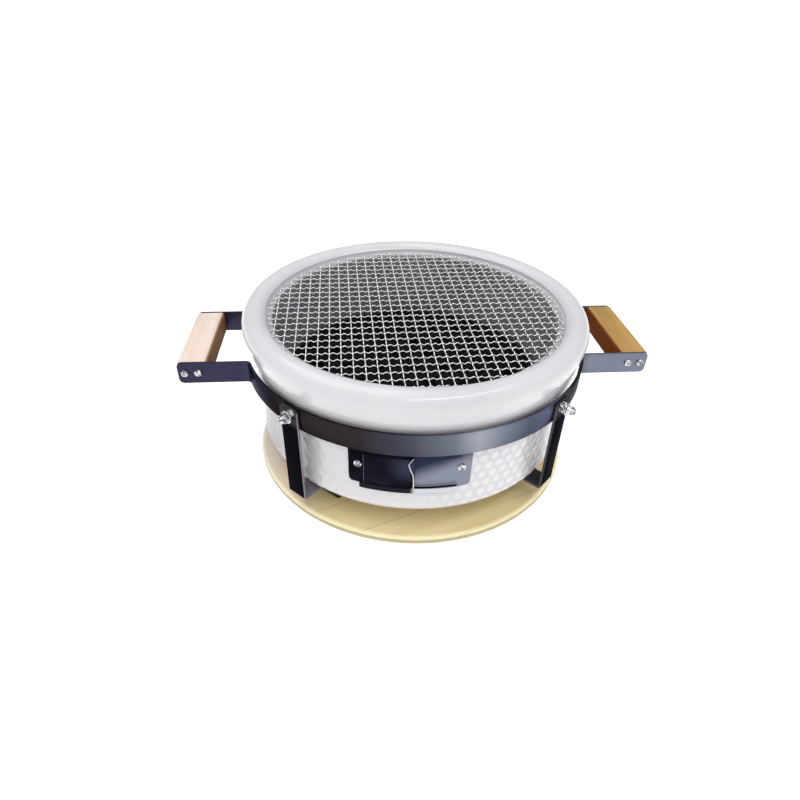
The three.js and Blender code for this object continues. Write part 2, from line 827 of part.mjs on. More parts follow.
// Charcoal grate: a round iron plate with holes in staggered rows.
function makeGrate() {
  const bottom = grateSeatHeight + seatGap;
  const top = bottom + grateThickness;
  const rowStep = (grateHolePitch * Math.sqrt(3)) / 2;
  const holes = [];
  for (let row = -grateHoleRings; row <= grateHoleRings; row += 1) {
    const count = grateHoleRings * 2 + 1 - Math.abs(row);
    for (let column = 0; column < count; column += 1) {
      const across = (column - (count - 1) / 2) * grateHolePitch;
      const hole = roundBar(grateHoleRadius, bottom - cutReach, top + cutReach, grateHoleSides);
      hole.translate(across, row * rowStep, 0);
      holes.push(hole);
    }
  }
  return cut(roundBar(grateRadius, bottom, top, ringSegments), mergeGeometries(holes));
}
addPart("charcoal_grate", makeGrate(), grateIron, bowlGroup);

// Cooking net: crossed wires with no rim. The gaps between the wires are cut from a round plate.
function makeNet() {
  const bottom = netSeatHeight + seatGap;
  const gapSize = netPitch - netWire;
  const gapsEachWay = Math.ceil(netRadius / netPitch);
  const gaps = [];
  for (let row = -gapsEachWay; row <= gapsEachWay; row += 1) {
    for (let column = -gapsEachWay; column <= gapsEachWay; column += 1) {
      const x = column * netPitch;
      const y = row * netPitch;
      const nearestX = Math.max(0, Math.abs(x) - gapSize / 2);
      const nearestY = Math.max(0, Math.abs(y) - gapSize / 2);
      if (Math.hypot(nearestX, nearestY) < netRadius) {
        const gap = new THREE.BoxGeometry(gapSize, gapSize, netDepth * 3);
        gap.translate(x, y, bottom + netDepth / 2);
        gaps.push(gap);
      }
    }
  }
  return cut(roundBar(netRadius, bottom, bottom + netDepth, ringSegments), mergeGeometries(gaps));
}
addPart("cooking_net", makeNet(), stainlessWire, bowlGroup);

export default brazier;
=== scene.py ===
import math

import bmesh
import bpy
from mathutils import Matrix, Vector


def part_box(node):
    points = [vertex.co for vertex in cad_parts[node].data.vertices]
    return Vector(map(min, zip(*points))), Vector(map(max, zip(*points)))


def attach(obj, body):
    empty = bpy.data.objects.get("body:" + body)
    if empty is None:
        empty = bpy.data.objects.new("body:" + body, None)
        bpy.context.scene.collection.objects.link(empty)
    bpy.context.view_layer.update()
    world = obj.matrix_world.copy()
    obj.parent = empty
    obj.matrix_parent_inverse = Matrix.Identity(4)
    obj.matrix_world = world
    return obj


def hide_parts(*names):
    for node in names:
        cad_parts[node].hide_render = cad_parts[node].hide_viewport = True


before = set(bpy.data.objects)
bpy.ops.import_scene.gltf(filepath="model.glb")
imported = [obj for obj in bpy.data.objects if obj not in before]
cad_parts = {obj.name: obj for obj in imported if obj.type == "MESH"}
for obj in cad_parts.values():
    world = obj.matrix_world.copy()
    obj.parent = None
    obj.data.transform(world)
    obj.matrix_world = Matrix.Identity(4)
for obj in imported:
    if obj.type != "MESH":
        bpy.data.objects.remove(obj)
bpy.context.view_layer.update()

mm = 0.001

# ---- Studio ----
# A plain pale floor and backdrop, a wide lamp above and a long strip lamp over the front. The
# camera stands where the photograph's did: a wide lens, close, looking down at the front.
camera_place = Vector((-65.6, -545.0, 442.0)) * mm
camera_lens = 26.03
camera_down = 35.7
camera_turn = -5.47
camera_roll = 1.585

camera = bpy.data.objects.new("camera", bpy.data.cameras.new("camera"))
camera.data.lens = camera_lens
camera.data.sensor_width = 36
camera.data.clip_start = 10 * mm
camera.matrix_world = (
    Matrix.Translation(camera_place)
    @ Matrix.Rotation(math.radians(camera_turn), 4, "Z")
    @ Matrix.Rotation(math.radians(90 - camera_down), 4, "X")
    @ Matrix.Rotation(math.radians(camera_roll), 4, "Z")
)
bpy.context.scene.collection.objects.link(camera)
bpy.context.scene.camera = camera
bpy.context.scene.view_settings.view_transform = "Standard"


def area_light(name, place, target, width, depth, power):
    lamp = bpy.data.lights.new(name, "AREA")
    lamp.shape = "RECTANGLE"
    lamp.size = width
    lamp.size_y = depth
    lamp.energy = power
    holder = bpy.data.objects.new(name, lamp)
    holder.location = place
    holder.rotation_euler = (Vector(target) - Vector(place)).to_track_quat("-Z", "Y").to_euler()
    bpy.context.scene.collection.objects.link(holder)


area_light("key_above", (-0.45, 0.15, 1.35), (0, 0, 0.15), 1.3, 1.1, 7)
area_light("strip_over_the_front", (0.34, -0.63, 1.23), (0, -0.17, 0.17), 1.3, 0.07, 3)

# The air is brightest up and in front, and dimmest low behind.
world = bpy.data.worlds.new("studio_air")
world.use_nodes = True
air = world.node_tree
air_place = air.nodes.new("ShaderNodeTexCoord")
air_turn = air.nodes.new("ShaderNodeMapping")
air_turn.inputs["Rotation"].default_value = (0, math.radians(-50), math.radians(-85))
air_turn.vector_type = "TEXTURE"
air_fade = air.nodes.new("ShaderNodeTexGradient")
air_tone = air.nodes.new("ShaderNodeValToRGB")
air_tone.color_ramp.elements[0].color = (0.45, 0.45, 0.47, 1)
air_tone.color_ramp.elements[1].color = (1, 1, 1, 1)
air.links.new(air_place.outputs["Generated"], air_turn.inputs["Vector"])
air.links.new(air_turn.outputs["Vector"], air_fade.inputs["Vector"])
air.links.new(air_fade.outputs["Fac"], air_tone.inputs["Fac"])
air.links.new(air_tone.outputs["Color"], air.nodes["Background"].inputs["Color"])
air.nodes["Background"].inputs["Strength"].default_value = 1.0
bpy.context.scene.world = world


def painted_set(name, colour, glow):
    """Names the piece of the set just added, and gives it matt paint with a white glow."""
    piece = bpy.context.active_object
    piece.name = name
    paint = bpy.data.materials.new(name + "_paint")
    paint.use_nodes = True
    shader = paint.node_tree.nodes["Principled BSDF"]
    shader.inputs["Base Color"].default_value = colour
    shader.inputs["Roughness"].default_value = 0.9
    shader.inputs["Emission Color"].default_value = (1, 1, 1, 1)
    shader.inputs["Emission Strength"].default_value = glow
    piece.data.materials.append(paint)
    return piece


bpy.ops.object.select_all(action="DESELECT")
bpy.ops.mesh.primitive_plane_add(size=400)
floor = painted_set("floor", (0.9, 0.9, 0.9, 1), 0.42)

# The backdrop stands far off all round, and throws no light on the brazier.
backdrop_radius = 60
backdrop_height = 120
bpy.ops.mesh.primitive_cylinder_add(
    vertices=64,
    radius=backdrop_radius,
    depth=backdrop_height,
    end_fill_type="NOTHING",
    location=(0, 0, backdrop_height / 2 - 1),
)
backdrop = painted_set("backdrop", (0, 0, 0, 1), 1.0)
backdrop.visible_diffuse = False
backdrop.visible_glossy = False
backdrop.visible_transmission = False
backdrop.visible_shadow = False

# ---- Serving board ----
# A round board of pale planks glued side by side, turned with a rounded edge and oiled. The
# brazier only stands on it.
board_edge_round = 4 * mm
board_plank_width = 43.1 * mm
board_grain_angle = 20.8
board_pale = (0.87, 0.72, 0.39, 1)
board_deep = (0.75, 0.58, 0.26, 1)


class Signal:
    """A socket of a finish's nodes, with arithmetic."""

    def __init__(self, finish, socket):
        self.finish = finish
        self.socket = socket

    def maths(self, operation, *values):
        inputs = dict(enumerate(values))
        return self.finish.node("ShaderNodeMath", {"operation": operation}, inputs)

    def __add__(self, other):
        return self.maths("ADD", self, other)

    __radd__ = __add__

    def __sub__(self, other):
        return self.maths("SUBTRACT", self, other)

    def __rsub__(self, other):
        return self.maths("SUBTRACT", other, self)

    def __mul__(self, other):
        return self.maths("MULTIPLY", self, other)

    __rmul__ = __mul__

    def __truediv__(self, other):
        return self.maths("DIVIDE", self, other)

    def __pow__(self, other):
        return self.maths("POWER", self, other)

    def __abs__(self):
        return self.maths("ABSOLUTE", self)

    def floor(self):
        return self.maths("FLOOR", self)

    def step(self, low, high):
        """0 below low, 1 above high, smooth between them."""
        settings = {"interpolation_type": "SMOOTHSTEP"}
        inputs = {"Value": self, "From Min": low, "From Max": high}
        return self.finish.node("ShaderNodeMapRange", settings, inputs)


class Finish:
    """A material on the piece's own coordinates, built from nodes."""

    def __init__(self, name, **sockets):
        self.material = bpy.data.materials.new(name)
        self.material.use_nodes = True
        self.tree = self.material.node_tree
        self.shader = self.tree.nodes["Principled BSDF"]
        for socket, value in sockets.items():
            self.shader.inputs[socket.replace("_", " ")].default_value = value
        self.place = self.node("ShaderNodeTexCoord", {}, {}, "Object")

    def node(self, kind, settings, inputs, output=0):
        made = self.tree.nodes.new(kind)
        for key, value in settings.items():
            if key == "stops":
                ramp = made.color_ramp.elements
                while len(ramp) < len(value):
                    ramp.new(0.5)
                for element, (position, colour) in zip(ramp, value):
                    element.position = position
                    element.color = colour
            else:
                setattr(made, key, value)
        for key, value in inputs.items():
            if isinstance(value, Signal):
                self.tree.links.new(value.socket, made.inputs[key])
            else:
                made.inputs[key].default_value = value
        return Signal(self, made.outputs[output])

    def axes(self, place=None):
        return [self.node("ShaderNodeSeparateXYZ", {}, {0: place or self.place}, axis) for axis in range(3)]

    def packed(self, x, y, z):
        return self.node("ShaderNodeCombineXYZ", {}, {0: x, 1: y, 2: z})

    def mapped(self, scale=(1, 1, 1), turn=0):
        inputs = {"Vector": self.place, "Scale": scale, "Rotation": (0, 0, math.radians(turn))}
        return self.node("ShaderNodeMapping", {}, inputs)

    def noise(self, place, scale, detail=2, roughness=0.5):
        inputs = {"Vector": place, "Scale": scale, "Detail": detail, "Roughness": roughness}
        return self.node("ShaderNodeTexNoise", {}, inputs)

    def mixed(self, amount, first, second):
        return self.node("ShaderNodeMix", {"data_type": "RGBA"}, {0: amount, 6: first, 7: second}, 2)

    def scaled(self, colour, amount):
        return self.node("ShaderNodeVectorMath", {"operation": "SCALE"}, {0: colour, "Scale": amount})

    def raised(self, height, distance, strength):
        inputs = {"Height": height, "Distance": distance, "Strength": strength}
        return self.node("ShaderNodeBump", {}, inputs)

    def feed(self, **signals):
        for socket, signal in signals.items():
            self.tree.links.new(signal.socket, self.shader.inputs[socket.replace("_", " ")])
        return self


def begun(name, add, **settings):
    """A primitive, alone selected, with its place and turn put into its mesh."""
    bpy.ops.object.select_all(action="DESELECT")
    add(**settings)
    piece = bpy.context.active_object
    piece.name = name
    bpy.ops.object.transform_apply(location=True, rotation=True, scale=True)
    return piece


def alone(piece):
    """Makes a piece the active one, with nothing else selected."""
    bpy.ops.object.select_all(action="DESELECT")
    bpy.context.view_layer.objects.active = piece
    piece.select_set(True)


def picked(piece, kind, test):
    """Edit mode, with those vertices or edges selected whose place and direction pass."""
    alone(piece)
    bpy.ops.object.mode_set(mode="EDIT")
    bpy.ops.mesh.select_mode(type=kind)
    bpy.ops.mesh.select_all(action="DESELECT")
    cage = bmesh.from_edit_mesh(piece.data)
    if kind == "VERT":
        chosen = [v for v in cage.verts if test(v.co, v.normal)]
    else:
        chosen = [
            e for e in cage.edges
            if test((e.verts[0].co + e.verts[1].co) / 2, (e.verts[1].co - e.verts[0].co).normalized())
        ]
    for element in chosen:
        element.select_set(True)
    cage.select_flush_mode()
    bmesh.update_edit_mesh(piece.data)


def closed_edit():
    bpy.ops.object.mode_set(mode="OBJECT")


def rounded(piece, width, segments, test):
    """Rounds off the edges whose middle and direction pass."""
    picked(piece, "EDGE", test)
    bpy.ops.mesh.bevel(offset=width, segments=segments)
    closed_edit()


def modified(piece, kind, **settings):
    alone(piece)
    modifier = piece.modifiers.new(kind.lower(), kind)
    for key, value in settings.items():
        setattr(modifier, key, value)
    bpy.ops.object.modifier_apply(modifier=modifier.name)


def edges_eased(piece, width, segments=2, angle=40):
    limit = {"limit_method": "ANGLE", "angle_limit": math.radians(angle)}
    modified(piece, "BEVEL", width=width, segments=segments, **limit)


def dressed(piece, finish, slot, body, *nodes, smooth=35):
    """Gives a finished piece its shading, material and body, and hides what it stands for. The slot is not
    used.
    """
    alone(piece)
    bpy.ops.object.shade_smooth_by_angle(angle=math.radians(smooth))
    piece.data.materials.clear()
    piece.data.materials.append(finish.material)
    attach(piece, body)
    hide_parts(*nodes)


def board_finish():
    finish = Finish("board_oiled_planks", Roughness=0.42)
    along, across, up = finish.axes(finish.mapped(turn=-board_grain_angle))
    plank = across / board_plank_width
    number = plank.floor()
    in_plank = plank - number
    seam = 1 - abs(in_plank - 0.5).step(0.485, 0.5)
    tone = finish.node("ShaderNodeTexWhiteNoise", {"noise_dimensions": "1D"}, {"W": number})
    stripe = finish.noise(finish.packed(along * 3 + tone * 7, across * 150, up * 60), 1, 3)
    fibre = finish.noise(finish.packed(along * 12, across * 900, up * 400), 1, 2)
    depth = tone * 0.55 + stripe.step(0.35, 0.7) * 0.45 + (fibre - 0.5) * 0.35
    x, y, z = finish.axes()
    rim = (x * x + y * y) ** 0.5
    # Painted light: the far left of the board is painted pale pink, as if blown out by the light.
    left = 1 - x.step(-175 * mm, -100 * mm)
    # A painted highlight along the rounded top edge.
    edge_highlight = rim.step(board_rim - 1 * mm, board_rim + 2 * mm)
    # A painted shade line along the underside of the edge.
    under_edge_shade = rim.step(board_rim + 3.4 * mm, board_rim + 4 * mm)
    colour = finish.mixed(depth.step(0.05, 1.1), board_pale, board_deep)
    colour = finish.mixed((1 - seam) * 0.5, colour, (0.24, 0.16, 0.06, 1))
    colour = finish.mixed(left * 0.7, colour, (0.95, 0.85, 0.86, 1))
    colour = finish.mixed(edge_highlight * 0.6, colour, (1.0, 0.93, 0.62, 1))
    colour = finish.mixed(under_edge_shade * 0.7, colour, (0.22, 0.20, 0.12, 1))
    return finish.feed(
        Base_Color=colour,
        Roughness=0.40 + fibre * 0.18,
        Normal=finish.raised(fibre * 0.4 + seam, 0.10 * mm, 0.4),
    )


board_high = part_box("base_board")[1]
board_rim = board_high[0] - board_edge_round
board = begun(
    "serving_board",
    bpy.ops.mesh.primitive_cylinder_add,
    vertices=192,
    radius=board_high[0],
    depth=board_high[2],
    location=(0, 0, board_high[2] / 2),
)
rounded(board, board_edge_round, 5, lambda middle, way: abs(way.z) < 0.5)
dressed(board, board_finish(), "board_wood", "board", "base_board")

# ---- Cradle straps ----
# Two strips of flat steel bent up into legs and painted black, crossed under the bowl and
# riveted. The cut side edges show bare metal.
strap_width = 22 * mm
strap_thickness = 2.5 * mm
strap_leg_inner = 177.8 * mm
strap_bend = 2.5 * mm
strap_top_corner = 4 * mm
strap_angles = {"upper": -46, "lower": 46}
band_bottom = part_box("band_front")[0][2]


def arc(centre, radius, start, end, steps):
    """Points of an arc in a plane, angles in degrees."""
    angles = [math.radians(start + (end - start) * step / steps) for step in range(steps + 1)]
    return [(centre[0] + radius * math.cos(a), centre[1] + radius * math.sin(a)) for a in angles]


def chained(name, points):
    """One vertex pushed from point to point, which leaves a chain of edges."""
    piece = begun(name, bpy.ops.mesh.primitive_plane_add, size=mm, location=points[0])
    bpy.ops.object.mode_set(mode="EDIT")
    bpy.ops.mesh.select_mode(type="VERT")
    bpy.ops.mesh.select_all(action="SELECT")
    bpy.ops.mesh.merge(type="CENTER")
    for here, there in zip(points, points[1:]):
        step = Vector(there) - Vector(here)
        bpy.ops.mesh.extrude_region_move(TRANSFORM_OT_translate={"value": step})
    closed_edit()
    return piece


def strip(name, points, across, thickness):
    """A flat bar that follows a chain of points, as wide as the vector across."""
    piece = chained(name, [Vector(point) - Vector(across) / 2 for point in points])
    picked(piece, "EDGE", lambda middle, way: True)
    bpy.ops.mesh.extrude_region_move(TRANSFORM_OT_translate={"value": across})
    closed_edit()
    modified(piece, "SOLIDIFY", thickness=thickness, offset=0, use_even_offset=True)
    return piece


def turned(piece, degrees):
    alone(piece)
    piece.rotation_euler.z = math.radians(degrees)
    bpy.ops.object.transform_apply(location=True, rotation=True, scale=True)


def strap_finish(angle, strap_middle):
    """Black paint, bright bare steel on the side edges of a strap at an angle to X, and dust with a painted
    reflection where it lies flat; both are painted stronger on the left, as painted light.
    """
    finish = Finish("strap_black_paint", IOR=1.03)
    x, y, z = finish.axes()
    across = abs(y * math.cos(math.radians(angle)) - x * math.sin(math.radians(angle)))
    # Painted light: the bright edges and flat parts are painted four times stronger on the left than on the
    # right, where the light falls.
    left = 1 - x.step(-60 * mm, 60 * mm) * 0.75
    bare = across.step(strap_width / 2 - 0.5 * mm, strap_width / 2 - 0.1 * mm) * left
    cloud = finish.noise(finish.place, 30, 3)
    specks = finish.noise(finish.place, 700, 2)
    # Where the strap lies flat it is painted lighter: partly dust, partly a painted reflection of the white
    # bowl above.
    dust_and_reflection = (1 - z.step(strap_middle + 1.5 * mm, strap_middle + 2.5 * mm)) * left
    rubbed = z.step(band_bottom, band_bottom + 8 * mm)
    colour = finish.mixed(cloud, (0.002, 0.002, 0.004, 1), (0.005, 0.004, 0.008, 1))
    colour = finish.mixed(rubbed, colour, (0.045, 0.043, 0.044, 1))
    colour = finish.mixed(dust_and_reflection, colour, (0.22, 0.205, 0.24, 1))
    colour = finish.mixed(bare * 0.7, colour, (0.36, 0.35, 0.40, 1))
    return finish.feed(
        Base_Color=colour,
        Roughness=0.38 + cloud * 0.2 - bare * 0.05,
        Metallic=bare * 0.8,
        Normal=finish.raised(specks, 0.02 * mm, 0.5),
    )


for strap_name, strap_angle in strap_angles.items():
    strap_node = f"cradle_strap_{strap_name}"
    strap_bottom, leg_top = (corner[2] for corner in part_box(strap_node))
    strap_middle = strap_bottom + strap_thickness / 2
    leg_middle = strap_leg_inner + strap_thickness / 2
    bend_middle = (leg_middle - strap_bend, strap_middle + strap_bend)
    half = [(0.0, strap_middle), (100 * mm, strap_middle)]
    half += arc(bend_middle, strap_bend, -90, 0, 6)
    half += [(leg_middle, leg_top)]
    outline = [(-across, up) for across, up in reversed(half[1:])] + half
    strap = strip(
        strap_node + "_bar",
        [(across, 0, up) for across, up in outline],
        (0, strap_width, 0),
        strap_thickness,
    )
    rounded(strap, strap_top_corner, 6, lambda middle, way: abs(way.x) > 0.9 and middle.z > leg_top - mm)
    edges_eased(strap, 0.3 * mm)
    turned(strap, strap_angle)
    dressed(strap, strap_finish(strap_angle, strap_middle), "strap_steel", "cradle", strap_node)

# ---- Rubber feet ----
# Four moulded black blocks under the strap ends, each held by a countersunk screw. They keep the
# hot straps off the board.
foot_length = 41 * mm
foot_width = 17 * mm
foot_distance = 136 * mm
foot_corner = 3 * mm
foot_angles = {"front_right": 44, "rear_right": 136, "rear_left": -136, "front_left": -44}

foot_finish = Finish("foot_black_rubber", Roughness=0.75)
foot_grain = foot_finish.noise(foot_finish.place, 900, 3)
foot_finish.feed(
    Base_Color=foot_finish.mixed(foot_grain, (0.006, 0.006, 0.006, 1), (0.02, 0.02, 0.02, 1)),
    Normal=foot_finish.raised(foot_grain, 0.05 * mm, 0.6),
)
for place, foot_angle in foot_angles.items():
    foot_low, foot_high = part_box(f"foot_{place}")
    foot = begun(
        f"foot_{place}_block",
        bpy.ops.mesh.primitive_cube_add,
        size=1,
        scale=(foot_length, foot_width, foot_high[2] - foot_low[2]),
        location=(0, -foot_distance, (foot_high[2] + foot_low[2]) / 2),
    )
    rounded(foot, foot_corner, 5, lambda middle, way: abs(way.z) > 0.9)
    edges_eased(foot, 0.8 * mm, segments=3)
    turned(foot, foot_angle)
    dressed(foot, foot_finish, "foot_rubber", "cradle", f"foot_{place}")

# ---- Band ----
# A dark steel strap round the bowl, in two halves. Each half's ends turn out through a small bend
# into ears that hold the handles, and the ears' free corners are rounded.
band_radius = 176.25 * mm
band_thickness = 2.5 * mm
band_bend = 6 * mm
band_ear_middle = 53.35 * mm
ear_corner = 5 * mm


def band_finish():
    """Steel brushed along its length, brown with smoke on the left and scoured pale right of the front;
    these tones are partly painted reflections.
    """
    finish = Finish("band_brushed_dark_steel", Metallic=1.0, Specular_Tint=(0.4, 0.4, 0.4, 1))
    x, y, z = finish.axes()
    # Colour along the band from left to right: partly smoke and scouring, partly painted reflections, dark
    # on the left and pale right of the front.
    smoke_and_reflection_tones = [
        (0.00, (0.038, 0.037, 0.068, 1)),
        (0.03, (0.045, 0.046, 0.085, 1)),
        (0.10, (0.026, 0.021, 0.023, 1)),
        (0.32, (0.027, 0.021, 0.025, 1)),
        (0.45, (0.057, 0.063, 0.089, 1)),
        (0.55, (0.137, 0.155, 0.185, 1)),
        (0.61, (0.305, 0.322, 0.370, 1)),
        (0.68, (0.155, 0.172, 0.222, 1)),
        (0.75, (0.085, 0.097, 0.137, 1)),
        (0.82, (0.125, 0.135, 0.200, 1)),
        (0.90, (0.040, 0.034, 0.044, 1)),
        (0.96, (0.040, 0.035, 0.045, 1)),
        (1.00, (0.185, 0.203, 0.255, 1)),
    ]
    cloud = finish.noise(finish.place, 22, 3, 0.6)
    along = (x + band_radius) / (2 * band_radius) + (cloud - 0.5) * 0.03
    streak = finish.noise(finish.mapped(scale=(14, 14, 1300)), 1, 3)
    scratch = finish.noise(finish.mapped(scale=(30, 30, 2600)), 1, 2)
    smoke_and_reflection = finish.node("ShaderNodeValToRGB", {"stops": smoke_and_reflection_tones}, {"Fac": along})
    return finish.feed(
        Base_Color=finish.scaled(smoke_and_reflection, 0.65 + streak * 0.4 + cloud * 0.3),
        Roughness=0.26 + streak * 0.14 + scratch * 0.08,
        Normal=finish.raised(streak * 0.6 + scratch * 0.4, 0.03 * mm, 0.25),
    )


band_steel = band_finish()
band_low, band_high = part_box("band_front")
band_height = band_high[2] - band_low[2]
band_centre_z = (band_high[2] + band_low[2]) / 2
ear_bend_y = band_ear_middle + band_bend
ear_bend_x = math.sqrt((band_radius + band_bend) ** 2 - ear_bend_y**2)
ear_lean = math.degrees(math.atan2(ear_bend_y, ear_bend_x))
ear_end = band_high[0]
band_half = [(ear_end, -band_ear_middle)]
band_half += arc((ear_bend_x, -ear_bend_y), band_bend, 90, 180 - ear_lean, 10)
band_half += arc((0, 0), band_radius, -ear_lean, -90, 60)[1:]
band_line = band_half + [(-x, y) for x, y in reversed(band_half[:-1])]
for half_name, half_turn in (("front", 0), ("rear", 180)):
    band = strip(
        f"band_{half_name}_strap",
        [(x, y, band_centre_z) for x, y in band_line],
        (0, 0, band_height),
        band_thickness,
    )
    rounded(band, ear_corner, 6, lambda middle, way: abs(way.y) > 0.9 and abs(middle.x) > ear_end - mm)
    edges_eased(band, 0.3 * mm)
    turned(band, half_turn)
    dressed(band, band_steel, "band_steel", "cradle", f"band_{half_name}")

# ---- Handles ----
# Two plain hardwood bars between the ears, planed square, with softly rounded long edges and an oiled
# surface, painted darker towards the fire, partly as painted shade.
handle_edge_round = 3 * mm
handle_inner_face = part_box("handle_right")[0][0]


def handle_finish():
    """Oiled on top, and painted dark on the face towards the fire, partly as painted shade and partly as
    toasting. The left bar is painted paler, as painted light.
    """
    finish = Finish("handle_oiled_hardwood", IOR=1.03)
    x, y, z = finish.axes()
    grain = finish.noise(finish.packed(x * 110, y * 7, z * 110), 1, 4, 0.55)
    pore = finish.noise(finish.packed(x * 1500, y * 60, z * 1500), 1, 2)
    # Painted light: the left bar is painted pale and the right bar tan, because the light falls more on the
    # left.
    right = x.step(-10 * mm, 10 * mm)
    # The inner face, towards the fire, is painted dark reddish brown, partly as painted shade and partly as
    # toasting.
    inner_face_shade_and_toast = 1 - abs(x).step(handle_inner_face + 0.4 * mm, handle_inner_face + handle_edge_round)
    tan = finish.mixed(grain.step(0.3, 0.72), (0.50, 0.32, 0.125, 1), (0.38, 0.225, 0.075, 1))
    pale = finish.mixed(grain.step(0.3, 0.72), (0.80, 0.70, 0.62, 1), (0.74, 0.60, 0.50, 1))
    shaded_toast = finish.mixed(right, (0.22, 0.095, 0.030, 1), (0.155, 0.030, 0.006, 1))
    colour = finish.mixed(right, pale, tan)
    colour = finish.mixed(inner_face_shade_and_toast * 0.92, colour, shaded_toast)
    colour = finish.mixed(pore.step(0.62, 0.75) * 0.25, colour, (0.14, 0.07, 0.03, 1))
    return finish.feed(
        Base_Color=colour,
        Roughness=0.36 + grain * 0.2,
        Normal=finish.raised(grain * 0.5 + pore * 0.5, 0.08 * mm, 0.5),
    )


handle_wood = handle_finish()
for side in ("left", "right"):
    handle_low, handle_high = (Vector(corner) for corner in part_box(f"handle_{side}"))
    handle = begun(
        f"handle_{side}_bar",
        bpy.ops.mesh.primitive_cube_add,
        size=1,
        scale=handle_high - handle_low,
        location=(handle_high + handle_low) / 2,
    )
    rounded(handle, handle_edge_round, 6, lambda middle, way: abs(way.y) > 0.9)
    edges_eased(handle, 0.5 * mm)
    dressed(handle, handle_wood, "handle_wood", "cradle", f"handle_{side}")

# ---- Handle screws ----
# Eight pan-head machine screws with a cross recess, bright zinc, driven through the ears into
# the ends of the handles.
pan_head_radius = 4 * mm
pan_head_height = 2.2 * mm
handle_screw_length = 17.2 * mm
screw_shank_radius = 2 * mm


def zinc_finish():
    """Bright zinc plate with a slight blue cast, mottled dark."""
    finish = Finish("zinc_plate", Metallic=1.0)
    mottle = finish.noise(finish.place, 420, 3)
    colour = finish.mixed(mottle.step(0.38, 0.6), (0.16, 0.165, 0.19, 1), (0.74, 0.75, 0.77, 1))
    return finish.feed(
        Base_Color=colour,
        Roughness=0.16 + mottle * 0.2,
        Normal=finish.raised(mottle, 0.06 * mm, 0.5),
    )


def swept(steps, degrees):
    """In edit mode, sweeps what is selected round Z, and closes the shell that this makes."""
    bpy.ops.mesh.spin(steps=steps, angle=math.radians(degrees), center=(0, 0, 0), axis=(0, 0, 1))
    bpy.ops.mesh.select_all(action="SELECT")
    bpy.ops.mesh.remove_doubles(threshold=0.001 * mm)
    bpy.ops.mesh.normals_make_consistent(inside=False)
    closed_edit()


def spun(name, profile, steps=40):
    """A closed round solid from (radius, height) points that start and end on the axis."""
    piece = chained(name, [(radius, 0, height) for radius, height in profile])
    picked(piece, "VERT", lambda place, way: True)
    swept(steps, 360)
    return piece


def joined(name, *pieces):
    bpy.ops.object.select_all(action="DESELECT")
    for piece in pieces:
        piece.select_set(True)
    bpy.context.view_layer.objects.active = pieces[0]
    bpy.ops.object.join()
    pieces[0].name = name
    return pieces[0]


def trimmed(piece, cutter, operation="DIFFERENCE"):
    modified(piece, "BOOLEAN", object=cutter, operation=operation, solver="EXACT")
    bpy.data.objects.remove(cutter)


def pan_screw(name, length):
    """Head on the z = 0 plane with its cross recess upwards, shank downwards."""
    crown = [
        (pan_head_radius * math.cos(a), pan_head_height * (0.3 + 0.7 * math.sin(a)))
        for a in map(math.radians, range(0, 90, 15))
    ]
    profile = [
        (0, -length), (screw_shank_radius * 0.5, -length), (screw_shank_radius, -length + mm),
        (screw_shank_radius, 0), (pan_head_radius * 0.96, 0), *crown, (0, pan_head_height),
    ]
    screw = spun(name, profile, 36)
    recess_size = (5.2 * mm, 1.1 * mm, 2.4 * mm)
    for turn in (0, 90):
        slot_bar = begun(name + "_recess", bpy.ops.mesh.primitive_cube_add, size=1, scale=recess_size)
        picked(slot_bar, "VERT", lambda place, way: place.z < 0)
        bpy.ops.transform.resize(value=(0.55, 0.7, 1))
        closed_edit()
        slot_bar.data.transform(Matrix.Translation((0, 0, pan_head_height)))
        turned(slot_bar, turn)
        trimmed(screw, slot_bar)
    return screw


def copied(template, name, placing):
    piece = template.copy()
    piece.data = template.data.copy()
    piece.name = name
    piece.data.transform(placing)
    bpy.context.scene.collection.objects.link(piece)
    return piece


zinc = zinc_finish()
handle_screw = pan_screw("handle_screw_template", handle_screw_length)
handle_screw_places = [
    (side, end, place)
    for side in ("left", "right")
    for end in ("front", "rear")
    for place in ("outer", "inner")
]
ear_face = band_ear_middle + band_thickness / 2
for number, (side, end, place) in enumerate(handle_screw_places):
    screw_node = f"handle_screw_{side}_{end}_{place}"
    screw_x = sum(corner[0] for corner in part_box(screw_node)) / 2
    outward = -1 if end == "front" else 1
    placing = (
        Matrix.Translation((screw_x, outward * ear_face, band_centre_z))
        @ Matrix.Rotation(math.radians(-90 * outward), 4, "X")
        @ Matrix.Rotation(math.radians(20 + 37 * number), 4, "Z")
    )
    screw = copied(handle_screw, screw_node + "_head", placing)
    dressed(screw, zinc, "zinc_fastener", "cradle", screw_node)
bpy.data.objects.remove(handle_screw)

# ---- Leg bolts ----
# At the top of each leg a machine bolt comes out through the band and the leg. A hex nut, a plain
# washer and a cap nut are run onto it, all bright zinc.
bolt_radius = 2.5 * mm
nut_across_corners = 11.5 * mm
cap_across_corners = 9.2 * mm
leg_face = strap_leg_inner + strap_thickness
bolt_clearance = 0.3 * mm
nut_height = 5 * mm
washer_start = nut_height + 0.4 * mm
washer_thickness = 1.2 * mm
washer_radius = 6.2 * mm
cap_start = washer_start + washer_thickness + 0.3 * mm
cap_hex_height = 4 * mm
cap_dome_height = 3.8 * mm
cap_dome_radius = 3.7 * mm


def hex_nut(name, across_corners, start, height, bore):
    """A hexagonal nut whose corners are turned off at both ends."""
    nut = begun(
        name,
        bpy.ops.mesh.primitive_cylinder_add,
        vertices=6,
        radius=across_corners / 2,
        depth=height,
        location=(0, 0, start + height / 2),
    )
    blunt = across_corners * 0.435
    easing = height * 0.14
    full = across_corners * 0.51
    below = start - 0.1 * mm
    above = start + height + 0.1 * mm
    barrel = [
        (bore, below), (blunt, below), (full, start + easing), (full, start + height - easing),
        (blunt, above), (bore, above), (bore, below),
    ]
    trimmed(nut, spun(name + "_barrel", barrel, 36), "INTERSECT")
    return nut


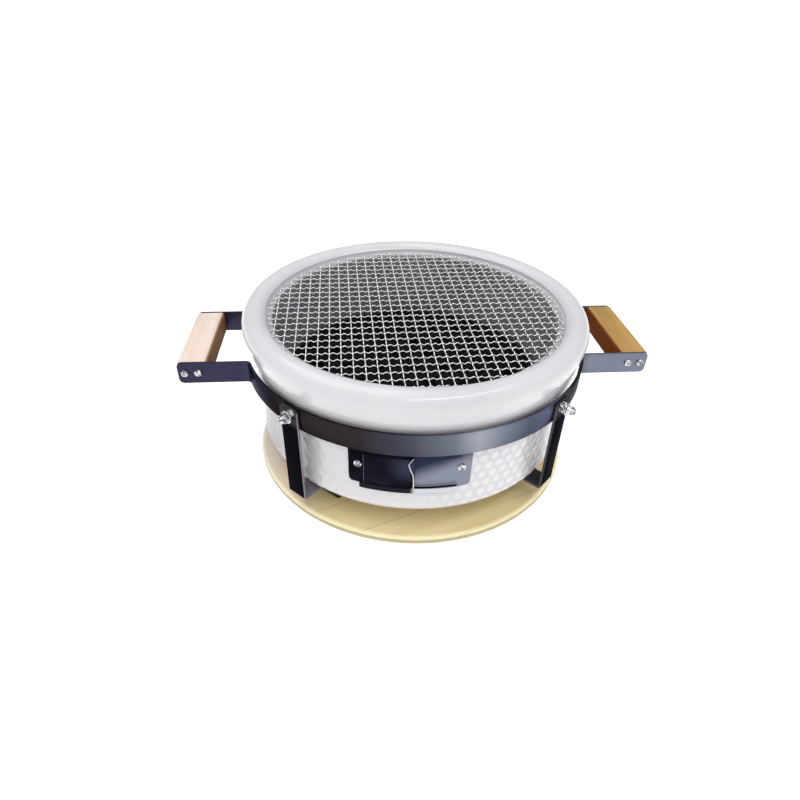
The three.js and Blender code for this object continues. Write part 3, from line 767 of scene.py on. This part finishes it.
hex_template = hex_nut("hex_nut_template", nut_across_corners, 0, nut_height, bolt_radius)
washer_bore = bolt_radius + 0.2 * mm
washer_end = washer_start + washer_thickness
washer_template = spun(
    "washer_template",
    [
        (washer_bore, washer_start), (washer_radius - 0.2 * mm, washer_start),
        (washer_radius, washer_start + 0.2 * mm), (washer_radius, washer_end - 0.2 * mm),
        (washer_radius - 0.2 * mm, washer_end), (washer_bore, washer_end), (washer_bore, washer_start),
    ],
)
cap_base = hex_nut("cap_base", cap_across_corners, cap_start, cap_hex_height, 0.5 * mm)
cap_dome_start = cap_start + cap_hex_height
cap_dome = spun(
    "cap_dome",
    [(0, cap_dome_start - 0.4 * mm), (cap_dome_radius, cap_dome_start - 0.4 * mm)]
    + [
        (cap_dome_radius * math.cos(a), cap_dome_start + cap_dome_height * math.sin(a))
        for a in map(math.radians, range(0, 90, 12))
    ]
    + [(0, cap_dome_start + cap_dome_height)],
)
trimmed(cap_base, cap_dome, "UNION")
bolt_angles = {"front_right": 42.5, "rear_right": 137.5, "rear_left": -137.5, "front_left": -42.5}
bolt_reach = band_thickness + strap_thickness + 0.3 * mm
bolt_template = spun(
    "bolt_template",
    [
        (0, -bolt_reach - 3.2 * mm), (3 * mm, -bolt_reach - 3.2 * mm), (4.7 * mm, -bolt_reach - 1.8 * mm),
        (5 * mm, -bolt_reach - 0.2 * mm), (bolt_radius, -bolt_reach - 0.2 * mm),
        (bolt_radius, cap_start), (0, cap_start),
    ],
)
bolt_kinds = {
    "leg_bolt": bolt_template,
    "hex_nut": hex_template,
    "washer": washer_template,
    "cap_nut": cap_base,
}
bolt_height = sum(corner[2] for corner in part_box("washer_front_left")) / 2
for number, (place, bolt_angle) in enumerate(bolt_angles.items()):
    for kind, template in bolt_kinds.items():
        placing = (
            Matrix.Rotation(math.radians(bolt_angle), 4, "Z")
            @ Matrix.Translation((0, -leg_face - bolt_clearance, bolt_height))
            @ Matrix.Rotation(math.radians(90), 4, "X")
            @ Matrix.Rotation(math.radians(17 * number), 4, "Z")
        )
        fastener = copied(template, f"{kind}_{place}_zinc", placing)
        dressed(fastener, zinc, "zinc_fastener", "cradle", f"{kind}_{place}")
for template in bolt_kinds.values():
    bpy.data.objects.remove(template)

# ---- Rivet and foot screws ----
# The rivet that holds the crossed straps, and the countersunk screws in the feet, keep their
# turned shapes and take the same bright zinc.
for node in ["cross_rivet", *(f"foot_screw_{place}" for place in foot_angles)]:
    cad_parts[node].data.materials.clear()
    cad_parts[node].data.materials.append(zinc.material)

# ---- Ceramic bowl ----
# A thick hand-finished bowl: white gloss glaze outside and over the rolled lip, dimpled by hand
# below the band, and bare sooty refractory clay inside the fire space. An air window goes through
# its wall, low on the front.
bowl_turn = -6.5
bowl_base = 34.3 * mm
bowl_base_corner = 13 * mm
bowl_belly_radius = 167 * mm
bowl_body_radius = 165.5 * mm
bowl_neck_radius = 163.5 * mm
bowl_neck_height = 113.5 * mm
lip_outer_radius = 177.7 * mm
lip_half = 12.7 * mm
bowl_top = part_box("ceramic_neck_and_lip")[1][2]
net_ledge_height = 165 * mm
net_ledge_radius = 154.2 * mm
net_ledge_inner = 148 * mm
grate_ledge_height = 89.7 * mm
grate_ledge_radius = 140 * mm
grate_ledge_inner = 131.5 * mm
fire_wall_bend = 130 * mm
fire_floor_height = 53 * mm
fire_floor_radius = 114 * mm
underside_height = 39 * mm
foot_ring_inner = 122 * mm
dimples_round = 90
dimple_rows = 8
dimple_low = 44 * mm
dimple_row_pitch = 10 * mm
dimple_radius = 6.3 * mm
dimple_depth = 0.42 * mm
bowl_steps = 720
window_angles = (-13.2, -1.6)
window_heights = (70 * mm, 86 * mm)


def pressed(piece, direction, depth, amount):
    """Moves each vertex by depth times amount(place), along a direction of the mesh."""
    group = piece.vertex_groups.new(name="pressed")
    for vertex in piece.data.vertices:
        weight = amount(vertex.co)
        if weight > 0:
            group.add([vertex.index], weight, "REPLACE")
    modified(piece, "DISPLACE", direction=direction, strength=depth, mid_level=0, vertex_group="pressed")
    piece.vertex_groups.clear()


def dimple(place):
    """How deep the glaze is dimpled at a place, from 0 to 1: shallow cups in staggered rows."""
    if place.xy.length < bowl_body_radius - 4 * mm:
        return 0
    deepest = 0
    lower_row = math.floor((place.z - dimple_low) / dimple_row_pitch)
    for row in (lower_row, lower_row + 1):
        if 0 <= row < dimple_rows:
            turn = math.atan2(place.y, place.x) / math.tau * dimples_round + row % 2 / 2
            sideways = (turn - round(turn)) * math.tau * bowl_body_radius / dimples_round
            upwards = place.z - dimple_low - row * dimple_row_pitch
            deepest = max(deepest, 1 - (math.hypot(sideways, upwards) / dimple_radius) ** 2)
    return deepest


def filled(name, section):
    """A face in the XZ plane with a (radius, height) outline, left selected in edit mode."""
    piece = chained(name, [(radius, 0, height) for radius, height in [*section, section[0]]])
    picked(piece, "VERT", lambda place, way: True)
    bpy.ops.mesh.remove_doubles(threshold=0.001 * mm)
    bpy.ops.mesh.edge_face_add()
    return piece


def curved_bar(name, section, from_angle, to_angle):
    """A closed (radius, height) section swept round the bowl. Angles run right from the front."""
    bar = filled(name, section)
    swept(max(2, round((to_angle - from_angle) / 1.2)), to_angle - from_angle)
    angles = [math.degrees(math.atan2(v.co.y, v.co.x)) for v in bar.data.vertices]
    turned(bar, from_angle - 90 - min(angles))
    return bar


def upright(inner, outer, bottom, top):
    return [(inner, bottom), (outer, bottom), (outer, top), (inner, top)]


def glaze_finish():
    """White glaze outside, with painted shade greying both sides below the lip and painted glints whitening
    the middles of the right dimples, and bare clay with soot inside."""
    finish = Finish("bowl_white_glaze", Coat_Roughness=0.06, Coat_IOR=1.35)
    x, y, z = finish.axes()
    radius = (x * x + y * y) ** 0.5
    inward = 1 - radius.step(net_ledge_radius - 1.2 * mm, net_ledge_radius - 0.4 * mm)
    under_net = 1 - z.step(net_ledge_height - 0.2 * mm, net_ledge_height + 0.2 * mm)
    inside = inward * under_net * z.step(fire_floor_height - 3 * mm, fire_floor_height - 2.8 * mm)
    cloud = finish.noise(finish.place, 9, 3)
    speck = finish.noise(finish.place, 500, 2)
    # Painted glints: right of the front, the middles of the dimples are painted whiter.
    glint_depth = finish.node("ShaderNodeAttribute", {"attribute_name": "glaze_pool"}, {}, "Fac")
    painted_glint = glint_depth.step(0.3, 0.95) * x.step(-40 * mm, 70 * mm)
    glaze = finish.mixed(cloud.step(0.35, 0.7), (0.66, 0.645, 0.665, 1), (0.62, 0.60, 0.625, 1))
    glaze = finish.mixed(painted_glint * 0.45, glaze, (0.92, 0.90, 0.93, 1))
    # Painted shade: the glaze is painted greyer on the left and right sides below the lip.
    left_painted_shade = (1 - x.step(-155 * mm, -118 * mm)) * 0.62
    right_painted_shade = x.step(122 * mm, 160 * mm) * 0.35
    glaze = finish.scaled(glaze, 1 - (left_painted_shade + right_painted_shade) * (1 - z.step(120 * mm, 150 * mm)))
    clay = finish.mixed(cloud.step(0.3, 0.7), (0.24, 0.225, 0.24, 1), (0.16, 0.148, 0.16, 1))
    soot = 1 - z.step(89 * mm, 102 * mm)
    clay = finish.mixed(soot * 0.9, clay, (0.01, 0.009, 0.01, 1))
    colour = finish.mixed(inside, glaze, clay)
    return finish.feed(
        Base_Color=colour,
        Roughness=0.2 + inside * 0.6,
        Coat_Weight=(1 - inside) * 0.5,
        Normal=finish.raised(cloud * 0.8 + speck * inside, 0.5 * mm, 0.12),
    )


corner_centre = (bowl_belly_radius - bowl_base_corner, bowl_base + bowl_base_corner)
bowl_profile = [
    (0, underside_height), (foot_ring_inner - 10 * mm, underside_height),
    (foot_ring_inner - 3 * mm, underside_height - mm), (foot_ring_inner, bowl_base),
    *arc(corner_centre, bowl_base_corner, -90, -45, 4),
]
wall_from = 41 * mm
wall_to = bowl_neck_height - 2 * mm
wall_rings = 50
belly_fades_over = 20 * mm
neck_draws_in_from = 95 * mm
for ring in range(wall_rings + 1):
    height = wall_from + (wall_to - wall_from) * ring / wall_rings
    if height < corner_centre[1]:
        drop = corner_centre[1] - height
        radius = corner_centre[0] + math.sqrt(bowl_base_corner**2 - drop**2)
    else:
        ease = min((height - corner_centre[1]) / belly_fades_over, 1)
        radius = bowl_belly_radius + (bowl_body_radius - bowl_belly_radius) * ease
        upper = max((height - neck_draws_in_from) / (bowl_neck_height - neck_draws_in_from), 0)
        radius += (bowl_neck_radius - bowl_body_radius) * upper**2
    bowl_profile.append((radius, height))
collar = [(0.4, 1), (2.2, 2.6), (4.6, 4.4), (6, 7.5), (6.8, 13), (7.4, 19), (9, 28), (11.4, 38)]
bowl_profile += [(bowl_neck_radius + out * mm, bowl_neck_height + up * mm) for out, up in collar]
lip_centre = (lip_outer_radius - lip_half, bowl_top - lip_half)
bowl_profile += [
    *arc(lip_centre, lip_half, -15, 148, 20),
    (net_ledge_radius + 1.2 * mm, net_ledge_height + 3.2 * mm),
    (net_ledge_radius + 0.3 * mm, net_ledge_height + 1 * mm),
    (net_ledge_radius - 0.2 * mm, net_ledge_height),
    (net_ledge_inner, net_ledge_height), (net_ledge_inner - 1.2 * mm, net_ledge_height - 0.5 * mm),
    (net_ledge_inner - 2 * mm, net_ledge_height - 3 * mm), (net_ledge_inner - 5 * mm, fire_wall_bend),
    (grate_ledge_radius, grate_ledge_height + 4 * mm), (grate_ledge_radius, grate_ledge_height),
    (grate_ledge_inner, grate_ledge_height), (grate_ledge_inner - mm, grate_ledge_height - mm),
    (fire_floor_radius + 8 * mm, fire_floor_height + 5 * mm),
    (fire_floor_radius, fire_floor_height), (0, fire_floor_height),
]
bowl = spun("ceramic_fire_bowl", bowl_profile, bowl_steps)
# Each vertex keeps how deep its dimple is, for the painted glints in the glaze.
glaze_pool = bowl.data.attributes.new("glaze_pool", "FLOAT", "POINT")
for vertex in bowl.data.vertices:
    glaze_pool.data[vertex.index].value = dimple(vertex.co)
pressed(bowl, "NORMAL", -dimple_depth, dimple)
wall_section = upright(fire_floor_radius - 4 * mm, bowl_belly_radius + 5 * mm, *window_heights)
trimmed(bowl, curved_bar("air_window", wall_section, *window_angles))
turned(bowl, bowl_turn)
bowl_rings = ["ceramic_base", "ceramic_ash_wall", "ceramic_fire_wall", "ceramic_neck_and_lip"]
dressed(bowl, glaze_finish(), "glazed_ceramic", "bowl", *bowl_rings, smooth=50)

# ---- Charcoal grate ----
# A round cast-iron plate with staggered holes, black with soot, lying loose on a ledge in the
# bowl. The charcoal lies on it and the ash falls through.
grate_hole_radius = 7 * mm
grate_hole_pitch = 36 * mm
grate_hole_rings = 3

grate_finish = Finish("grate_sooty_iron", IOR=1.15)
grate_crust = grate_finish.noise(grate_finish.place, 160, 5, 0.65)
grate_finish.feed(
    Base_Color=grate_finish.mixed(grate_crust, (0.003, 0.003, 0.004, 1), (0.010, 0.009, 0.011, 1)),
    Roughness=0.6 + grate_crust * 0.3,
    Normal=grate_finish.raised(grate_crust, 0.6 * mm, 0.6),
)
grate_low, grate_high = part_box("charcoal_grate")
grate_middle = (grate_low[2] + grate_high[2]) / 2
grate_thickness = grate_high[2] - grate_low[2]
grate = begun(
    "charcoal_grate_plate",
    bpy.ops.mesh.primitive_cylinder_add,
    vertices=128,
    radius=grate_high[0],
    depth=grate_thickness,
    location=(0, 0, grate_middle),
)
hole_cutters = []
for row in range(-grate_hole_rings, grate_hole_rings + 1):
    holes_in_row = grate_hole_rings * 2 + 1 - abs(row)
    for column in range(holes_in_row):
        across = (column - (holes_in_row - 1) / 2) * grate_hole_pitch
        place = (across, row * grate_hole_pitch * math.sqrt(3) / 2, grate_middle)
        cutter = begun(
            "grate_hole",
            bpy.ops.mesh.primitive_cylinder_add,
            vertices=24,
            radius=grate_hole_radius,
            depth=grate_thickness * 3,
            location=place,
        )
        hole_cutters.append(cutter)
trimmed(grate, joined("grate_holes", *hole_cutters))
edges_eased(grate, 0.5 * mm, segments=1, angle=60)
turned(grate, bowl_turn)
dressed(grate, grate_finish, "grate_iron", "grate", "charcoal_grate")

# ---- Cooking net ----
# Bright stainless wires woven over and under each other, with one more crimp between crossings,
# cut round and laid loose on the ledge inside the lip. It has no rim.
wire_radius = 0.6 * mm
wire_crimp = 0.84 * mm
crimps_per_pitch = 1.5
rings_per_pitch = 12
wire_sides = 6
net_radius = 152.4 * mm
net_turn = 1
lengthways = {"pitch": 10.66 * mm, "shift": -4.1 * mm}
crossways = {"pitch": 11.77 * mm, "shift": -4.7 * mm}

net_finish = Finish("net_bright_wire", Metallic=1.0)
net_mottle = net_finish.noise(net_finish.place, 240, 3)
net_finish.feed(
    Base_Color=net_finish.mixed(net_mottle.step(0.3, 0.7), (0.80, 0.79, 0.81, 1), (0.95, 0.94, 0.95, 1)),
    Roughness=0.32 + net_mottle * 0.2,
)
net_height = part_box("cooking_net")[0][2] + wire_crimp + wire_radius


def crimped_wire(name, crossed):
    """A wire along X that rises and falls over the wires it crosses, with nearly straight flanks."""
    pitches = 2 * math.ceil(net_radius / crossed["pitch"]) + 2
    wire = begun(
        name,
        bpy.ops.mesh.primitive_cylinder_add,
        vertices=wire_sides,
        radius=wire_radius,
        depth=pitches * crossed["pitch"],
        rotation=(0, math.radians(90), 0),
    )
    for parts in (pitches, rings_per_pitch):
        picked(wire, "EDGE", lambda middle, way: abs(way.x) > 0.9)
        bpy.ops.mesh.subdivide(number_cuts=parts - 1)
        closed_edit()

    def crimp(place):
        turns = math.tau * crimps_per_pitch * (place.x - crossed["shift"]) / crossed["pitch"]
        return ((math.cos(turns) + math.cos(3 * turns) / 9) / (1 + 1 / 9) + 1) / 2

    pressed(wire, "Z", 2 * wire_crimp, crimp)
    wire.data.transform(Matrix.Translation((0, 0, -wire_crimp)))
    return wire


net_wires = []
for way, (laid, crossed) in enumerate(((crossways, lengthways), (lengthways, crossways))):
    wire_template = crimped_wire("wire_template", crossed)
    reach = math.ceil(net_radius / laid["pitch"])
    for index in range(-reach, reach + 1):
        offset = laid["shift"] + index * laid["pitch"]
        if abs(offset) > net_radius - 2 * mm:
            continue
        half_length = math.sqrt(net_radius**2 - offset**2)
        flip = Matrix.Rotation(math.pi * ((index + way) % 2), 4, "X")
        place = (offset, 0, net_height) if way else (0, offset, net_height)
        placing = Matrix.Translation(place) @ Matrix.Rotation(math.radians(90) * way, 4, "Z")
        wire = copied(wire_template, "net_wire", flip)
        picked(wire, "EDGE", lambda middle, along: True)
        for end in (-1, 1):
            bpy.ops.mesh.select_all(action="SELECT")
            bpy.ops.mesh.bisect(
                plane_co=(end * half_length, 0, 0), plane_no=(end, 0, 0), use_fill=True, clear_outer=True
            )
        closed_edit()
        wire.data.transform(placing)
        net_wires.append(wire)
    bpy.data.objects.remove(wire_template)
net = joined("cooking_net_wires", *net_wires)
turned(net, net_turn)
dressed(net, net_finish, "net_wire", "net", "cooking_net", smooth=70)

# ---- Air vent ----
# A curved back plate screwed to the bowl over the air window, with a folded rail above and below,
# and a door that slides between them. All of it is thin steel painted near black.
vent_half_angle = 19.6
vent_inner = 165.8 * mm
vent_sheet = 1.2 * mm
rail_foot = 3.2 * mm
vent_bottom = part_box("vent_frame")[0][2] + rail_foot
vent_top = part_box("vent_frame")[1][2]
vent_corner = 5 * mm
rail_half_angle = 15.6
rail_gap = 2.1 * mm
rail_lip = 3 * mm
rail_top_lip = 8.5 * mm
rail_roof = 4.5 * mm
rail_round = 1.2 * mm
rail_chamfer = 0.35 * mm
door_angles = (-14.4, 1.3)
door_sheet = 1.3 * mm
door_gap = 0.4 * mm
vent_plate_outer = vent_inner + vent_sheet
rail_inner = vent_plate_outer + rail_gap
rail_outer = rail_inner + vent_sheet


def vent_steel(name):
    """Thin steel under satin blue-black paint, and its clouds and grit."""
    finish = Finish(name, IOR=1.04)
    cloud = finish.noise(finish.mapped(scale=(1, 1, 2)), 28, 4, 0.6)
    grit = finish.noise(finish.place, 650, 2)
    paint = finish.mixed(cloud.step(0.35, 0.75), (0.007, 0.006, 0.011, 1), (0.018, 0.018, 0.034, 1))
    return finish, cloud, grit, paint


def vent_frame_finish():
    """The paint is worn to the steel right of the door and on the lower rail; that steel is painted light
    low down and dark higher up, as painted light and shade, with a painted highlight on a fold and a
    painted shadow in the slot.
    """
    finish, cloud, grit, paint = vent_steel("vent_worn_paint")
    x, y, z = finish.axes()
    radius = (x * x + y * y) ** 0.5
    worn_side = x.step(-19 * mm, -13 * mm)
    # Painted light and shade: the bare steel is painted light low down and dark higher up, in the shade
    # under the band.
    low = 1 - (z - x * 0.4 + (cloud - 0.5) * 6 * mm).step(vent_bottom + 12 * mm, vent_bottom + 34 * mm)
    steel = finish.mixed(low, (0.018, 0.023, 0.050, 1), (0.225, 0.245, 0.305, 1))
    colour = finish.mixed(worn_side, finish.scaled(paint, 0.6), steel)
    slot_top = vent_bottom + rail_lip
    rail_side = worn_side * (1 - x.step(24 * mm, 27 * mm))
    # A painted highlight: a thin light line along the fold above the slot.
    fold_highlight = rail_side * (1 - z.step(slot_top + 1.0 * mm, slot_top + 1.4 * mm))
    colour = finish.mixed(fold_highlight, colour, (0.75, 0.78, 0.84, 1))
    # A painted shadow in the slot above the lower rail.
    slot = rail_side * (1 - z.step(slot_top - 0.2 * mm, slot_top + 0.1 * mm))
    colour = finish.mixed(slot, colour, (0.010, 0.012, 0.018, 1))
    on_rail = radius.step(rail_inner - 0.6 * mm, rail_inner - 0.2 * mm)
    rail_low = 1 - z.step(vent_bottom + rail_lip, vent_top - rail_top_lip)
    rail_steel = finish.mixed(worn_side, (0.015, 0.015, 0.023, 1), (0.560, 0.580, 0.630, 1))
    rail_steel = finish.mixed(rail_low, colour, rail_steel)
    colour = finish.mixed(on_rail, colour, rail_steel)
    return finish.feed(
        Base_Color=colour,
        Metallic=worn_side * 0.8,
        Roughness=0.34 + cloud * 0.2,
        Normal=finish.raised(grit, 0.02 * mm, 0.5),
    )


vent_paint = vent_frame_finish()
plate_section = upright(vent_inner, vent_plate_outer, vent_bottom, vent_top)
plate = curved_bar("vent_plate", plate_section, -vent_half_angle, vent_half_angle)
rounded(
    plate,
    vent_corner,
    6,
    lambda middle, way: abs(way.z) < 0.1
    and abs(way.xy.normalized().dot(middle.xy.normalized())) > 0.95
    and abs(math.degrees(math.atan2(middle.x, -middle.y))) > vent_half_angle - 0.1
    and middle.z < vent_bottom + mm,
)
window_section = upright(vent_inner - mm, vent_plate_outer + mm, *window_heights)
trimmed(plate, curved_bar("vent_window", window_section, *window_angles))
edges_eased(plate, 0.25 * mm, segments=1)
rail_base = vent_bottom - rail_foot
rail_sections = {
    "rail_lower": [
        (vent_plate_outer, rail_base), (rail_outer - rail_round, rail_base),
        (rail_outer - rail_chamfer, rail_base + rail_chamfer), (rail_outer, rail_base + rail_round),
        (rail_outer, vent_bottom + rail_lip), (rail_inner, vent_bottom + rail_lip),
        (rail_inner, vent_bottom), (vent_plate_outer, vent_bottom),
    ],
    "rail_upper": [
        (vent_plate_outer, vent_top - rail_roof), (rail_inner, vent_top - rail_roof),
        (rail_inner, vent_top - rail_top_lip), (rail_outer, vent_top - rail_top_lip),
        (rail_outer, vent_top - rail_round), (rail_outer - rail_chamfer, vent_top - rail_chamfer),
        (rail_outer - rail_round, vent_top), (vent_plate_outer, vent_top),
    ],
}
rails = []
for name, section in rail_sections.items():
    rail = curved_bar(name, section, -rail_half_angle, rail_half_angle)
    edges_eased(rail, 0.25 * mm, segments=1, angle=60)
    rails.append(rail)
vent_frame = joined("vent_back_plate_and_rails", plate, *rails)
turned(vent_frame, bowl_turn)
dressed(vent_frame, vent_paint, "vent_steel", "bowl", "vent_frame")

# ---- Vent door ----
# A curved sheet of the same steel that covers the left part of the vent. Its right edge is bent out into a
# finger fin, wide at the top, with a bright cut edge, partly bare steel and partly a painted highlight.
fin_thickness = 1.3 * mm
fin_reach = 3.6 * mm
fin_top_rise = 2.6 * mm
fin_neck = 0.6 * mm
fin_taper = 8 * mm
fin_corner = 1.5 * mm
fin_lean = 5.5 * mm
fin_lean_rise = 18 * mm
door_inner = vent_plate_outer + door_gap
door_outer = door_inner + door_sheet
door_bottom = vent_bottom + door_gap
door_top = vent_top - rail_roof - door_gap
fin_root = rail_outer + door_gap
fin_bottom = vent_bottom + rail_lip + door_gap
fin_top = vent_top - rail_top_lip - door_gap


def fin_leaning(place):
    """How far the fin leans left at a place, from 0 to 1: most at its outer top corner."""
    outwards = max(place.x - fin_root, 0) / fin_reach
    upwards = max(place.z - fin_top + fin_lean_rise, 0) / fin_lean_rise
    return min(outwards * upwards, 1)


def door_finish():
    """The frame's paint, with a painted highlight along the door's left edge, a painted reflection on its
    upper right, and the fin's cut edge bare steel with a painted highlight.
    """
    finish, cloud, grit, paint = vent_steel("door_blue_black_paint")
    x, y, z = finish.axes()
    # A painted reflection: a lighter blue patch on the upper right of the sheet.
    painted_reflection_patch = x.step(-42 * mm, -17 * mm) * z.step(vent_bottom + 6 * mm, vent_bottom + 26 * mm)
    # A painted highlight: a lighter line along the door's left edge.
    edge = 1 - x.step(door_left_edge + 0.1 * mm, door_left_edge + 0.5 * mm)
    # The fin's cut edge is bare steel, painted bright partly as a highlight.
    cut_edge_bare_and_highlight = finish.node("ShaderNodeAttribute", {"attribute_name": "cut_edge"}, {}, "Fac")
    colour = finish.mixed(painted_reflection_patch * 0.8, paint, (0.052, 0.060, 0.100, 1))
    colour = finish.mixed(edge * 0.8, colour, (0.20, 0.21, 0.26, 1))
    colour = finish.mixed(cut_edge_bare_and_highlight, colour, (0.62, 0.64, 0.68, 1))
    return finish.feed(
        Base_Color=colour,
        Metallic=cut_edge_bare_and_highlight * 0.6,
        Roughness=0.34 + cloud * 0.2,
        Normal=finish.raised(grit, 0.02 * mm, 0.5),
    )


door = curved_bar("door_sheet", upright(door_inner, door_outer, door_bottom, door_top), *door_angles)
edges_eased(door, 0.25 * mm, segments=1)
fin_tip = fin_root + fin_reach
fin_height = fin_top - fin_bottom
fin_points = [
    (door_inner + door_sheet / 2, fin_bottom), (fin_root + fin_neck, fin_bottom),
    (fin_root + fin_reach * 0.35, fin_bottom + fin_height * 0.3),
    (fin_root + fin_reach * 0.75, fin_bottom + fin_height * 0.55),
    (fin_tip, fin_top - fin_taper), (fin_tip, fin_top - fin_corner), (fin_tip - fin_corner, fin_top),
    (fin_root + fin_neck, fin_top + fin_top_rise), (fin_root, fin_top + fin_top_rise),
    (fin_root, fin_top), (door_inner + door_sheet / 2, fin_top),
]
fin = filled("door_fin", fin_points)
closed_edit()
modified(fin, "SOLIDIFY", thickness=fin_thickness, offset=0)
cut_edge = fin.data.attributes.new("cut_edge", "FLOAT", "FACE")
for face in fin.data.polygons:
    cut_edge.data[face.index].value = float(abs(face.normal.y) < 0.5)
pressed(fin, "Y", -fin_lean, fin_leaning)
edges_eased(fin, 0.2 * mm, segments=1)
turned(fin, door_angles[1] - 90)
door = joined("vent_sliding_door", door, fin)
turned(door, bowl_turn)
door_left_edge = min(vertex.co.x for vertex in door.data.vertices)
dressed(door, door_finish(), "vent_steel", "door", "vent_door")

# ---- Vent screws ----
# Two pan-head screws with a cross recess, one at each end of the back plate, driven into the
# ceramic.
vent_screw_length = 12 * mm
vent_screw_angle = 16.3
vent_screw_height = 91 * mm
vent_screw = pan_screw("vent_screw_template", vent_screw_length)
for name, side in (("left", -1), ("right", 1)):
    placing = (
        Matrix.Rotation(math.radians(side * vent_screw_angle + bowl_turn), 4, "Z")
        @ Matrix.Translation((0, -vent_plate_outer, vent_screw_height))
        @ Matrix.Rotation(math.radians(90), 4, "X")
        @ Matrix.Rotation(math.radians(30 * side), 4, "Z")
    )
    screw = copied(vent_screw, f"vent_screw_{name}_head", placing)
    dressed(screw, zinc, "zinc_fastener", "bowl", f"vent_screw_{name}")
bpy.data.objects.remove(vent_screw)
